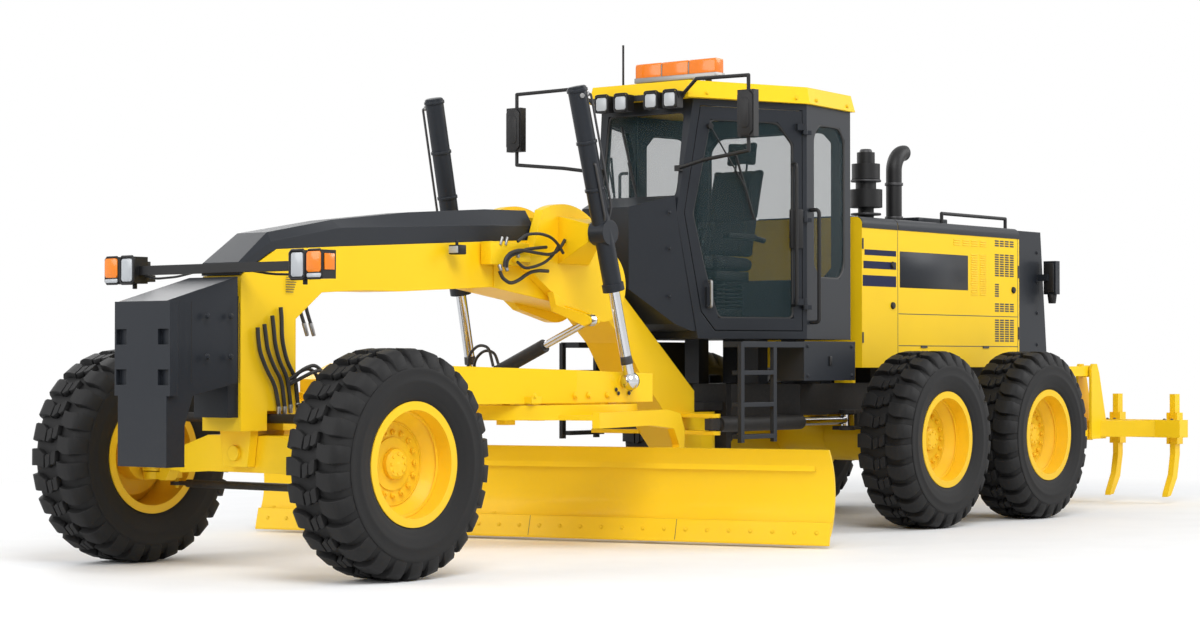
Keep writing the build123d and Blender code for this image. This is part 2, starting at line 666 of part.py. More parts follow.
with BuildPart() as front_frame:
    add(side_plate(BEAM, -beam_w / 2, beam_w / 2))
    add(side_plate(NECK, -neck_half, neck_half))
    with BuildSketch(Plane.XY.offset(hitch_z0)):
        Circle(hitch_r)
        with Locations((100, 0)):
            Rectangle(200, 2 * hitch_r)
    extrude(amount=hitch_z1 - hitch_z0)
    add(bar((0, 0, hitch_z0 - 10), (0, 0, hitch_z1 + 10), hitch_pin_r), mode=Mode.SUBTRACT)
    for x0, x1 in BOLSTERS:
        add(cross_plate([(-130, nose_z0 + 5), (130, nose_z0 + 5), (100, 610), (-100, 610)], x0, x1))
        add(bar((x0 - 1, 0, pivot_z), (x1 + 1, 0, pivot_z), pivot_pin_r + running), mode=Mode.SUBTRACT)
    with Locations(ball):
        Sphere(ball_r)
    add(bar((ball[0], 0, ball[2]), (nose_x0 + 5, 0, ball[2]), 36))
    # ears for the barrels of the articulation cylinders
    for side in SIDES.values():
        x, y = turn_front
        for z0 in (turn_z - clevis_half - 28, turn_z + clevis_half):
            add(flat_plate([(250, side * 160), (x - 43, side * (y - 45)), (x - 43, side * (y + 40)),
                            (x, side * (y + 62)), (x + 43, side * (y + 40)), (x + 43, side * (y - 45)),
                            (420, side * 160)], z0, z0 + 28))
        add(bar((x, side * y, turn_z - clevis_half - 20), (x, side * y, turn_z + clevis_half + 20),
                small_pin_r - running))
save(front_frame, "front_frame")

# ================================================================ front axle, lean and steering
axle_half = 100.0
fork_in = 48.0
fork_out = 85.0
lean_boss_r = 50.0
with BuildPart() as front_axle:
    beam_end = lean_y - 145
    add(cross_plate([(-beam_end, 560), (-beam_end, 715), (-300, 790), (300, 790), (beam_end, 715), (beam_end, 560),
                     (300, 575), (-300, 575)], front_x - axle_half, front_x + axle_half))
    add(bar((BOLSTERS[0][0] - 20, 0, pivot_z), (BOLSTERS[1][1] + 20, 0, pivot_z), pivot_pin_r))
    for side in SIDES.values():
        for near, far in ((-fork_out, -fork_in), (fork_in, fork_out)):
            add(cross_plate([(side * (beam_end - 15), 562), (side * (beam_end - 15), 712),
                             (side * lean_y, lean_z + lean_boss_r),
                             (side * lean_y, lean_z - lean_boss_r)], front_x + near, front_x + far))
            add(bar((front_x + near, side * lean_y, lean_z), (front_x + far, side * lean_y, lean_z), lean_boss_r))
        add(bar((front_x - fork_out, side * lean_y, lean_z), (front_x + fork_out, side * lean_y, lean_z),
                lean_pin_r - running))
save(front_axle, "front_axle")

lean_half = fork_in - pin_gap
king_boss_r = 70.0
eye_z = (560.0, 740.0)
bar_pin_r = 18.0
finger_half = 15.0
for name, side in SIDES.items():
    with BuildPart() as lean:
        add(bar((front_x - lean_half, side * lean_y, lean_z), (front_x + lean_half, side * lean_y, lean_z),
                lean_boss_r))
        add(cross_plate([(side * lean_y, lean_z - lean_boss_r), (side * lean_y, lean_z + lean_boss_r),
                         (side * (lean_y + 32), 795), (side * (king_y - 88), 795), (side * (king_y - 88), 505),
                         (side * (lean_y + 52), 505)],
                        front_x - lean_half, front_x + lean_half))
        add(cross_plate([(side * (king_y - 88), 780), (side * (lean_y + 32), 780), (side * (lean_y - 35), 868),
                         (side * (lean_y - 35), bar_z + 18), (side * (lean_y - 18), bar_z + 35),
                         (side * (lean_y + 18), bar_z + 35), (side * (lean_y + 35), bar_z + 18)],
                        front_x - finger_half, front_x + finger_half))
        for z0, z1 in ((eye_z[0] - 50, eye_z[0] - 5), (eye_z[1] + 5, eye_z[1] + 50)):
            with BuildSketch(Plane.XY.offset(z0)):
                with Locations((front_x, side * king_y)):
                    Circle(king_boss_r)
                with Locations((front_x, side * (king_y - 60))):
                    Rectangle(2 * lean_half, 120)
            extrude(amount=z1 - z0)
        add(bar((front_x, side * king_y, eye_z[0] - 50), (front_x, side * king_y, eye_z[1] + 50), king_r - running))
        add(bar((front_x - 100, side * lean_y, lean_z), (front_x + 100, side * lean_y, lean_z), lean_pin_r),
            mode=Mode.SUBTRACT)
        add(bar((front_x - 36, side * lean_y, bar_z), (front_x + 36, side * lean_y, bar_z), bar_pin_r - running))
    save(lean, f"lean_{name}")

    with BuildPart() as knuckle:
        add(bar((front_x, side * king_y, eye_z[0]), (front_x, side * king_y, eye_z[1]), 75))
        add(bar((front_x, side * (king_y + 10), axle_z), (front_x, side * (wheel_y + hub_in - 4), axle_z), 85))
        add(spindle(front_x, side, king_y + 60))
        add(side_plate([(front_x - 60, 640), (front_x - 60, 565), (front_x - 125, 562), (front_x - 150, 508),
                        (front_x + arm_x - 28, 508), (front_x + arm_x - 28, 535), (front_x - 140, 640)],
                       side * (king_y - 16), side * (king_y + 16)))
        add(bar((front_x + arm_x, side * king_y, 512), (front_x + arm_x, side * king_y, tie_z - 30),
                tie_pin_r - running))
        add(bar((front_x, side * king_y, eye_z[0] - 1), (front_x, side * king_y, eye_z[1] + 1), king_r),
            mode=Mode.SUBTRACT)
    save(knuckle, f"knuckle_{name}")

tie_x = front_x + arm_x
cheek_in = 30.5
cheek_out = 37.5
with BuildPart() as tie_rod_end:
    add(bar((tie_x, king_y, tie_z - 20), (tie_x, king_y, tie_z + 20), 30))
    add(bar((tie_x - cheek_out, king_y, tie_z), (tie_x + cheek_out, king_y, tie_z), 10 - running))
    add(bar((tie_x, king_y, tie_z - 21), (tie_x, king_y, tie_z + 21), tie_pin_r), mode=Mode.SUBTRACT)
save(tie_rod_end, "tie_rod_end")

with BuildPart() as tie_rod:
    add(bar((tie_x, king_y - 50, tie_z), (tie_x, 95 - king_y, tie_z), tie_r))
    add(bar((tie_x, 100 - king_y, tie_z), (tie_x, tie_bore - king_y + 1, tie_z), tie_neck_r))
    add(block((tie_x - cheek_out, tie_x + cheek_out), (king_y - 54, king_y - 40), (tie_z - 13, tie_z + 13)))
    for near, far in ((-cheek_out, -cheek_in), (cheek_in, cheek_out)):
        add(block((tie_x + near, tie_x + far), (king_y - 54, king_y + 15), (tie_z - 13, tie_z + 13)))
    add(bar((tie_x - 60, king_y, tie_z), (tie_x + 60, king_y, tie_z), 10), mode=Mode.SUBTRACT)
    add(bar((tie_x, -king_y, tie_z - 13), (tie_x, -king_y, tie_z + 9), tie_bore + 10))
    add(bar((tie_x, -king_y, tie_z - 40), (tie_x, -king_y, tie_z + 40), tie_bore), mode=Mode.SUBTRACT)
save(tie_rod, "tie_rod")

with BuildPart() as lean_bar:
    add(bar((front_x, -lean_y + 62, bar_z), (front_x, lean_y - 62, bar_z), bar_r))
    for side in SIDES.values():
        for x0, x1 in ((-33, -21), (21, 33)):
            add(block((front_x + x0, front_x + x1), (side * (lean_y - 90), side * lean_y), (bar_z - 24, bar_z + 24)))
            add(bar((front_x + x0, side * lean_y, bar_z), (front_x + x1, side * lean_y, bar_z), 34))
    add(bar((front_x - 60, lean_y, bar_z), (front_x + 60, lean_y, bar_z), bar_pin_r), mode=Mode.SUBTRACT)
    add(bar((front_x - 60, -lean_y, bar_z), (front_x + 60, -lean_y, bar_z), bar_pin_r + 1.5), mode=Mode.SUBTRACT)
save(lean_bar, "lean_bar")

# ================================================================ covers, lamps and push plate
COVER = [  # x, half width, underside, shoulder, half width of the top, top
    (nose_x1 + 11, 158, 1722, 1780, 150, 1796),
    (front_x + 36, 158, 1863, 1924, 125, 1979),
    (front_x - 536, 158, 1914.3, 2027, 90, 2077),
    (front_x - 1214, 158, 1954.3, 2064, 90, 2153),
    (2364, 158, 1996.3, 2100, 90, 2205),
    (1960, 158, 2020, 2110, 90, 2215)]
with BuildPart() as frame_cover:
    for x, w, zb, zs, r, zt in COVER:
        with BuildSketch(Plane.YZ.offset(x)):
            Polygon((-w, zb), (w, zb), (w, zs), (r, zt), (-r, zt), (-w, zs), align=None)
    loft(ruled=True)
    add(side_plate([(nose_x1, 1600), (nose_x1 + 125, 1600), (nose_x1 + 125, 1718), (nose_x1, 1718.3),
                    (front_x - 10, 1880.3), (front_x - 536, 1914.3),
                    (2364, 1996.3), (1500, 2040.3), (1500, 1700)], -200, 200), mode=Mode.SUBTRACT)
save(frame_cover, "frame_cover")

with BuildPart() as headlamps:
    add(block((nose_x1 + 11 + seat_gap, nose_x1 + 55), (-657, 657), (1735, 1790)))
    for side in SIDES.values():
        add(block((nose_x1 - 15, nose_x1 + 91), (side * 655, side * 774), (1686, 1846)))
        add(block((nose_x1 - 15, nose_x1 + 91), (side * 789, side * 908), (1686, 1846)))
        add(block((nose_x1 - 5, nose_x1 + 60), (side * 770, side * 793), (1720, 1812)))
        add(block((nose_x1 - 115, nose_x1 + 25), (side * 700, side * 800), (1700, 1740)))
save(headlamps, "headlamps")

plate_x = nose_x1 + 603
with BuildPart() as push_plate:
    add(block((nose_x1 + seat_gap, nose_x1 + 85), (-140, 140), (900, 1600)))
    add(side_plate([(plate_x, 632), (plate_x, 1562), (plate_x - 537, 1710), (plate_x - 537, 1100),
                    (plate_x - 197, 1030), (plate_x - 135, 863), (plate_x - 135, 632)], -203, 203))
    add(block((plate_x - 60, plate_x), (-232, 232), (1030, 1562)))
    for y in (-175, 175):
        for z in (1135, 1362):
            add(block((plate_x - 30, plate_x + 1), (y - 44, y + 44), (z - 44, z + 44)), mode=Mode.SUBTRACT)
save(push_plate, "push_plate")

# ================================================================ saddle
trunnion_share = (lift_top[2] - lift_trunnion_z) / (lift_top[2] - lift_ball[2])
trunnion = along(lift_top, lift_ball, trunnion_share)
saddle_in = neck_half + seat_gap
saddle_out = 240.0
yoke_y = 570.0
shift_pin = (1800.0, 509.0, 1492.0)
lug_z = 1545.0                 # clears the cylinder when the blade is raised
with BuildPart() as saddle:
    for side in SIDES.values():
        with BuildSketch(Plane(origin=(0, side * saddle_in, 0), x_dir=(1, 0, 0), z_dir=(0, -1, 0))):
            with BuildLine():
                ThreePointArc((1956, 2215), (1560, 2230), (1272, 1976))
                ThreePointArc((1272, 1976), (1140, 1572), (1379, 1494))
                Line((1379, 1494), (1697, 1569))
                Line((1697, 1569), (2107, 1830))
                Line((2107, 1830), (1956, 2215))
            make_face()
        extrude(amount=-side * (saddle_out - saddle_in))
        for y, x0, x1, z0, z1 in ((saddle_out - 10, 1470, 1800, 1860, 2180),
                                  (yoke_y, trunnion[0] - 75, trunnion[0] + 55, 1996, 2116)):
            with BuildSketch(Plane(origin=(0, side * y, 0), x_dir=(1, 0, 0), z_dir=(0, side, 0))):
                with Locations(((x0 + x1) / 2, -side * (z0 + z1) / 2)):
                    Rectangle(x1 - x0, z1 - z0)
        loft(ruled=True)
        add(bar((trunnion[0], side * (yoke_y - 5), trunnion[2]), (trunnion[0], side * 606, trunnion[2]),
                trunnion_r - running))
    add(block((1560, 1900), (-saddle_in - 5, saddle_in + 5), (2050, 2170)))
    # lug of the centre-shift cylinder
    add(side_plate([(1700, 1600), (1755, lug_z), (1845, lug_z), (1890, 1680)], saddle_out - 20, saddle_out + 30))
    for x0, x1 in ((1745, 1769), (1831, 1855)):
        add(cross_plate([(saddle_out, lug_z + 5), (saddle_out, 1600), (500, 1532), (549, 1510), (549, 1474), (500, 1452)],
                        x0, x1))
    add(bar((1745, shift_pin[1], shift_pin[2]), (1855, shift_pin[1], shift_pin[2]), small_pin_r - running))
save(saddle, "saddle")

# ================================================================ drawbar, circle and blade
socket_r = 110.0
beam_in = 562.0
beam_out = 625.0
drawbar_z = (955.0, 1212.0)
shift_base = (1800.0, -500.0, 1060.0)
SHOES = [(circle_x - 505, 297.0), (circle_x + 505, 297.0)]
with BuildPart() as drawbar:
    for side in SIDES.values():
        add(flat_plate([(1280, side * beam_in), (1280, side * beam_out), (2080, side * beam_out),
                        (ball[0] - 170, side * 95), (ball[0] - 90, side * 80), (ball[0] - 90, 0), (ball[0] - 250, 0),
                       (2010, side * beam_in)],
                       drawbar_z[0], drawbar_z[1]))
    # top edge falls toward the rear
    add(side_plate([(1200, 1140), (ball[0] - 450, drawbar_z[1]), (ball[0] + 50, 1080), (ball[0] + 50, 1300),
                    (1200, 1300)], -800, 800),
        mode=Mode.SUBTRACT)
    for x0, x1 in ((1310, 1430), (2360, 2460)):
        add(block((x0, x1), (-beam_in - 5, beam_in + 5), (drawbar_z[0], 1000)))
    with Locations(ball):
        Sphere(socket_r)
    add(bar(ball, (ball[0] + 200, 0, ball[2]), 200), mode=Mode.SUBTRACT)
    with Locations(ball):
        Sphere(ball_r + seat_gap, mode=Mode.SUBTRACT)
    for x, y in SHOES:
        for side in SIDES.values():
            add(bar((x, side * y, 818), (x, side * y, drawbar_z[0] + 5), 28))
            add(bar((x, side * y, 818), (x, side * y, circle_z0 - seat_gap), 60))
    # lug beside the eye of the centre-shift cylinder
    add(cross_plate([(-beam_in - 5, 1020), (-beam_in - 5, 1100), (-500, 1100), (-462, 1078), (-462, 1042),
                     (-500, 1020)], shift_base[0] + 34, shift_base[0] + 60))
    for side in SIDES.values():
        add(bar((lift_ball[0], side * (beam_out - 5), lift_ball[2]), (lift_ball[0], side * 632, lift_ball[2]), 40))
save(drawbar, "drawbar")

blade_place = Location((circle_x, 0, 0), (0, 0, blade_deg))
tip_boss_r = 50.0
arm_v = (blade_arm_v - blade_arm_t / 2, blade_arm_v + blade_arm_t / 2)
with BuildPart() as circle:
    add(bar((0, 0, circle_z0), (0, 0, circle_z1), circle_r, circle_in_r))
    # inner teeth that the turning gear meets
    with BuildSketch(Plane.XY.offset(circle_z0)):
        with PolarLocations(circle_in_r - tooth_h, tooth_n):
            Polygon((0, -tooth_t / 4), (tooth_h + 4, -tooth_t / 2), (tooth_h + 4, tooth_t / 2), (0, tooth_t / 4),
                    align=None)
    extrude(amount=circle_z1 - circle_z0 - 20)
    for side in SIDES.values():
        with BuildSketch(Plane.XY.offset(circle_z0)):
            Polygon((-640, side * 480), (560, side * 480), (560, side * arm_v[1]), (-640, side * arm_v[1]), align=None)
            Circle(circle_in_r + 5, mode=Mode.SUBTRACT)
        extrude(amount=30)
        add(side_plate([(560, 800), (560, 900), (-600, 900), (-820, 870), (-900, 760), (-850, tip_z - 20),
                        (-820, tip_z - 45), (tip_u, tip_z), (-760, tip_z + 30), (-792, 560), (-792, 660), (-700, 770),
                        (-300, 800)], side * arm_v[0], side * arm_v[1]))
        add(bar((tip_u, side * arm_v[0], tip_z), (tip_u, side * arm_v[1], tip_z), tip_boss_r))
        add(bar((tip_u, side * (arm_v[0] - 5), tip_z), (tip_u, side * (arm_v[1] + 5), tip_z), tip_pin_r),
            mode=Mode.SUBTRACT)
save(circle, "circle", blade_place)

rail_back = -745.0
rail_lo = (80.0, 120.0)
rail_hi = (500.0, 540.0)
guide_gap = 2.0
side_rod = (-812.0, 160.0)
side_rod_r = 20.0
side_barrel_r = 34.0
side_rod_eye = 600.0
side_rod_end = -1201.0
with BuildPart() as blade_carrier:
    add(bar((tip_u, -arm_v[0] + pin_gap, tip_z), (tip_u, arm_v[0] - pin_gap, tip_z), 40))
    for side in SIDES.values():
        inner = side * (arm_v[0] - 70)
        outer = side * (arm_v[0] - pin_gap)
        add(side_plate([(-850, tip_z), (-835, 300), (rail_back - 32, 565), (rail_back - guide_gap, 565),
                        (rail_back - guide_gap, 55), (rail_back - 28, 55), (rail_back - 28, 210),
                        (-835, tip_z - 35)], inner, outer))
        for low, high in (rail_lo, rail_hi):
            for z0, z1 in ((low - 20, low - guide_gap), (high + guide_gap, high + 20)):
                add(block((rail_back - 10, rail_back + 26), (inner, outer), (z0, z1)))
        add(bar((tip_u, side * (arm_v[0] - 10), tip_z), (tip_u, side * arm_v[1], tip_z), tip_pin_r - running))
    # rod of the side-shift cylinder
    add(block((side_rod[0] - 24, side_rod[0] + 24), (side_rod_eye - 15, side_rod_eye + 15), (130, tip_z)))
    add(bar((side_rod[0], side_rod_eye, side_rod[1]), (side_rod[0], side_rod_end, side_rod[1]), side_rod_r - running))
save(blade_carrier, "blade_carrier", blade_place)

blade_v0 = blade_shift - blade_len / 2
blade_v1 = blade_shift + blade_len / 2
blade_top = edge_gap + blade_h
edge_h = 150.0
with BuildPart() as moldboard:
    with BuildSketch(Plane(origin=(0, blade_v0, 0), x_dir=(1, 0, 0), z_dir=(0, -1, 0))):
        with BuildLine():
            face = ThreePointArc((blade_u, edge_gap + 60), (blade_u - blade_bulge, edge_gap + 0.48 * blade_h),
                                 (blade_u + 20, blade_top))
            Line(face @ 1, (blade_u - 6, blade_top + 2))
            ThreePointArc((blade_u - 6, blade_top + 2), (blade_u - blade_bulge - blade_t, edge_gap + 0.48 * blade_h),
                          (blade_u - blade_t - 5, edge_gap + 60))
            Line((blade_u - blade_t - 5, edge_gap + 60), face @ 0)
        make_face()
    extrude(amount=-blade_len)
    # cutting edge
    add(side_plate([(blade_u + 16, edge_gap), (blade_u + 16, edge_gap + 12), (blade_u - 26, edge_gap + edge_h),
                    (blade_u - 46, edge_gap + edge_h), (blade_u - 4, edge_gap)], blade_v0, blade_v1))
    # rails of the side shift
    for (z0, z1), front in ((rail_lo, -618), (rail_hi, -645)):
        add(block((rail_back, front), (blade_v0 + 120, blade_v1 - 120), (z0, z1)))
    # barrel of the side-shift cylinder with its two brackets
    barrel_v = (blade_v0 + 89, -500)
    add(bar((side_rod[0], barrel_v[0], side_rod[1]), (side_rod[0], barrel_v[1], side_rod[1]), side_barrel_r))
    add(bar((side_rod[0], barrel_v[0] + 30, side_rod[1]), (side_rod[0], barrel_v[1] + 5, side_rod[1]), side_rod_r),
        mode=Mode.SUBTRACT)
    for v in (barrel_v[0] + 15, barrel_v[1] - 15):
        add(side_plate([(side_rod[0] + 26, side_rod[1] - 15), (side_rod[0] + 26, side_rod[1] + 15), (-645, 185),
                        (-645, 135)], v - 12, v + 12))
save(moldboard, "moldboard", blade_place)

# ================================================================ cylinders
for name, side in SIDES.items():
    front = (turn_front[0], side * turn_front[1], turn_z)
    rear = (turn_rear[0], side * turn_rear[1], turn_z)
    with BuildPart() as turn_barrel:
        add(bar((front[0], front[1], turn_z - eye_w / 2), (front[0], front[1], turn_z + eye_w / 2), eye_r))
        add(bar(reach(front, rear, 40), reach(front, rear, 75), 36))
        add(bar(reach(front, rear, 72), reach(front, rear, turn_barrel_l), turn_barrel_r))
        add(bar(reach(front, rear, 140), reach(front, rear, turn_barrel_l + 1), turn_rod_r), mode=Mode.SUBTRACT)
        add(bar((front[0], front[1], turn_z - eye_w), (front[0], front[1], turn_z + eye_w), small_pin_r),
            mode=Mode.SUBTRACT)
    save(turn_barrel, f"turn_barrel_{name}")

    with BuildPart() as turn_rod:
        add(bar((rear[0], rear[1], turn_z - eye_w / 2), (rear[0], rear[1], turn_z + eye_w / 2), eye_r))
        add(bar(reach(front, rear, 420), reach(front, rear, dist(front, rear) - 40), turn_rod_r - running))
        add(bar((rear[0], rear[1], turn_z - eye_w), (rear[0], rear[1], turn_z + eye_w), small_pin_r),
            mode=Mode.SUBTRACT)
    save(turn_rod, f"turn_rod_{name}")

    top = sided(lift_top, side)
    foot = sided(lift_ball, side)
    lift_run = dist(top, foot)
    mouth = lift_run * (lift_top[2] - lift_barrel_z0) / (lift_top[2] - lift_ball[2])
    with BuildPart() as lift_barrel:
        add(bar(top, reach(top, foot, mouth), lift_barrel_r))
        add(bar(reach(top, foot, mouth - 50), reach(top, foot, mouth), lift_barrel_r + 10))
        add(bar((trunnion[0], side * 588, trunnion[2]), (trunnion[0], side * 712, trunnion[2]), 82))
        add(bar(reach(top, foot, 60), reach(top, foot, mouth + 1), lift_rod_r), mode=Mode.SUBTRACT)
        add(bar((trunnion[0], side * 580, trunnion[2]), (trunnion[0], side * 609, trunnion[2]), trunnion_r),
            mode=Mode.SUBTRACT)
    save(lift_barrel, f"lift_barrel_{name}")

    with BuildPart() as lift_rod:
        add(bar(reach(top, foot, mouth - 700), foot, lift_rod_r - running))
        with Locations(foot):
            Sphere(62)
        add(block((foot[0] - 80, foot[0] + 80), (side * 560, side * 650), (foot[2] - 80, foot[2] + 80)),
            mode=Mode.SUBTRACT)
    save(lift_rod, f"lift_rod_{name}")

shift_l = dist(shift_pin, shift_base)
with BuildPart() as shift_rod:
    add(bar((shift_pin[0] - 50, *shift_pin[1:]), (shift_pin[0] + 50, *shift_pin[1:]), 39))
    add(bar(reach(shift_pin, shift_base, 30), reach(shift_pin, shift_base, 640), 25 - running))
    add(block((1740, shift_pin[0] - 25), (450, 560), (1440, 1550)), mode=Mode.SUBTRACT)
    add(block((shift_pin[0] + 25, 1860), (450, 560), (1440, 1550)), mode=Mode.SUBTRACT)
    add(bar((1740, *shift_pin[1:]), (1860, *shift_pin[1:]), small_pin_r), mode=Mode.SUBTRACT)
save(shift_rod, "shift_rod")

with BuildPart() as shift_barrel:
    add(bar(reach(shift_pin, shift_base, 420), reach(shift_pin, shift_base, shift_l - 75), 45))
    add(bar(reach(shift_pin, shift_base, shift_l - 80), reach(shift_pin, shift_base, shift_l - 20), 24))
    add(bar((shift_base[0] - 25, *shift_base[1:]), (shift_base[0] + 25, *shift_base[1:]), 38))
    add(bar(reach(shift_pin, shift_base, 419), reach(shift_pin, shift_base, shift_l - 90), 25), mode=Mode.SUBTRACT)
save(shift_barrel, "shift_barrel")

# ================================================================ ripper
link_l = 660.0
link_y = (530.0, 616.0)
rip_eye = (hitch_x - 600, 0.0, link_z[0])
for node, z in (("ripper_arm", link_z[0]), ("ripper_link", link_z[1])):
    with BuildPart() as links:
        for side in SIDES.values():
            y0, y1 = side * link_y[0], side * link_y[1]
            add(side_plate([(hitch_x, z + 42), (hitch_x, z - 42), (hitch_x - link_l, z - 42),
                            (hitch_x - link_l, z + 42)], y0, y1))
            for x in (hitch_x, hitch_x - link_l):
                add(bar((x, y0, z), (x, y1, z), 50))
            add(bar((hitch_x, side * 500, z), (hitch_x, side * 640, z), rip_pin_r), mode=Mode.SUBTRACT)
            add(bar((hitch_x - link_l, side * 500, z), (hitch_x - link_l, side * 640, z), rip_pin_r),
                mode=Mode.SUBTRACT)
        if z == link_z[0]:
            add(bar((rip_eye[0] + 120, -link_y[0] - 5, z), (rip_eye[0] + 120, link_y[0] + 5, z), 25))
            for y0, y1 in ((-70, -46), (46, 70)):
                add(block((rip_eye[0] - 40, rip_eye[0] + 125), (y0, y1), (z - 35, z + 35)))
    save(links, node)

beam_x = (hitch_x - 1240, hitch_x - 1080)
beam_z = (570.0, 720.0)
SHANKS = (-1080.0, -540.0, 0.0, 540.0, 1080.0)
with BuildPart() as ripper_frame:
    mast_x = hitch_x - link_l
    for side in SIDES.values():
        for y0, y1 in ((498, 522), (624, 648)):
            add(side_plate([(mast_x + 62, 560), (mast_x + 62, 1160), (mast_x + 30, 1200), (mast_x - 40, 1200),
                            (mast_x - 80, 1120), (mast_x - 200, 720), (mast_x - 200, 560)], side * y0, side * y1))
        for z in link_z:
            add(bar((mast_x, side * 498, z), (mast_x, side * 648, z), rip_pin_r - running))
        add(flat_plate([(mast_x - 100, side * 498), (mast_x - 100, side * 648), (beam_x[1] - 5, side * 1000),
                        (beam_x[1] - 5, side * 700)], beam_z[0] + 5, beam_z[1] - 5))
    add(block(beam_x, (-1225, 1225), beam_z))
    for y in SHANKS:
        for y0, y1 in ((y - 26 - 24, y - 26), (y + 26, y + 26 + 24)):
            add(block((beam_x[0] - 100, beam_x[0] + 10), (y0, y1), (beam_z[0] - 60, beam_z[1] + 60)))
save(ripper_frame, "ripper_frame")

with BuildPart() as ripper_shanks:
    for y in SHANKS:
        back = beam_x[0] - 92
        add(side_plate([(back, 940), (beam_x[0] - 2, 940), (beam_x[0] - 2, 420), (back + 132, 250), (back + 232, 95),
                        (back + 242, 62), (back + 172, 72), (back + 52, 220), (back, 420)], y - 25, y + 25))
        add(bar((back + 42, y - 26, 645), (back + 42, y + 26, 645), 20))
save(ripper_shanks, "ripper_shanks")

rip_l = dist(rip_top, rip_eye)
rip_barrel_l = 620.0
rip_rod_l = 608.0
with BuildPart() as ripper_barrel:
    add(bar((rip_top[0], -54, rip_top[2]), (rip_top[0], 54, rip_top[2]), eye_r))
    add(bar(reach(rip_top, rip_eye, 40), reach(rip_top, rip_eye, rip_barrel_l), 52))
    add(bar(reach(rip_top, rip_eye, 80), reach(rip_top, rip_eye, rip_barrel_l + 1), turn_rod_r), mode=Mode.SUBTRACT)
    add(bar((rip_top[0], -60, rip_top[2]), (rip_top[0], 60, rip_top[2]), small_pin_r), mode=Mode.SUBTRACT)
save(ripper_barrel, "ripper_barrel")

with BuildPart() as ripper_rod:
    add(bar((rip_eye[0], -40, rip_eye[2]), (rip_eye[0], 40, rip_eye[2]), 38))
    add(bar(reach(rip_top, rip_eye, rip_l - rip_rod_l), reach(rip_top, rip_eye, rip_l - 30), turn_rod_r - running))
    add(bar((rip_eye[0], -60, rip_eye[2]), (rip_eye[0], 60, rip_eye[2]), 20), mode=Mode.SUBTRACT)
save(ripper_rod, "ripper_rod")
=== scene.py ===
import math

import bmesh
import bpy
from mathutils import Matrix, Vector


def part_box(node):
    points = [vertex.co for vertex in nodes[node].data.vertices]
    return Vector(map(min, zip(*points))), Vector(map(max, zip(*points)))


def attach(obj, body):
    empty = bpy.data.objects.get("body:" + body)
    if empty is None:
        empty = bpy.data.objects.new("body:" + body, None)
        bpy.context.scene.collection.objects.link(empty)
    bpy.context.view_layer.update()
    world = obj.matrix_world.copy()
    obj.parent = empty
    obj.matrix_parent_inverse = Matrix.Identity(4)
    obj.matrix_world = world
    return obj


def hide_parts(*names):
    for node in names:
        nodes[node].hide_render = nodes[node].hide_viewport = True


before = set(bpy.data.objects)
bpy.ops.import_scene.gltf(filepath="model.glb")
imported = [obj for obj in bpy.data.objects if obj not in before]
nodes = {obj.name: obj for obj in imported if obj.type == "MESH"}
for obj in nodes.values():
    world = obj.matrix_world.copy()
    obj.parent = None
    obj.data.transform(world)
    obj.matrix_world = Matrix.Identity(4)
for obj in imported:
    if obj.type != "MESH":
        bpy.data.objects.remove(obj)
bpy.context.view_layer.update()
sides = {"left": 1, "right": -1}
wheelNames = ["front_left", "front_right", "tandem_front_left", "tandem_front_right", "tandem_rear_left",
              "tandem_rear_right"]
print("frame loaded:", len(nodes), "nodes")


def newGroup(name, inputs, outputs):
    group = bpy.data.node_groups.new(name, "ShaderNodeTree")
    for socketName, kind, value in inputs:
        socket = group.interface.new_socket(name=socketName, in_out="INPUT", socket_type=kind)
        if value is not None:
            socket.default_value = value
    for socketName, kind in outputs:
        group.interface.new_socket(name=socketName, in_out="OUTPUT", socket_type=kind)
    source = group.nodes.new("NodeGroupInput")
    sink = group.nodes.new("NodeGroupOutput")
    return group, source, sink


def feed(tree, socket, value):
    if isinstance(value, (int, float)):
        socket.default_value = value
    elif value is not None:
        tree.links.new(value, socket)


def addMath(tree, operation, a, b=None, c=None, clamp=False):
    node = tree.nodes.new("ShaderNodeMath")
    node.operation = operation
    node.use_clamp = clamp
    for socket, value in zip(node.inputs, (a, b, c)):
        feed(tree, socket, value)
    return node.outputs[0]


def addNoise(group, vector, scale, detail=3.0, roughness=0.5):
    node = group.nodes.new("ShaderNodeTexNoise")
    node.inputs["Detail"].default_value = detail
    node.inputs["Roughness"].default_value = roughness
    feed(group, node.inputs["Vector"], vector)
    feed(group, node.inputs["Scale"], scale)
    return node.outputs["Fac"]


def addMix(group, factor, a, b):
    node = group.nodes.new("ShaderNodeMix")
    node.data_type = "RGBA"
    group.links.new(factor, node.inputs["Factor"])
    group.links.new(a, node.inputs["A"])
    group.links.new(b, node.inputs["B"])
    return node.outputs["Result"]


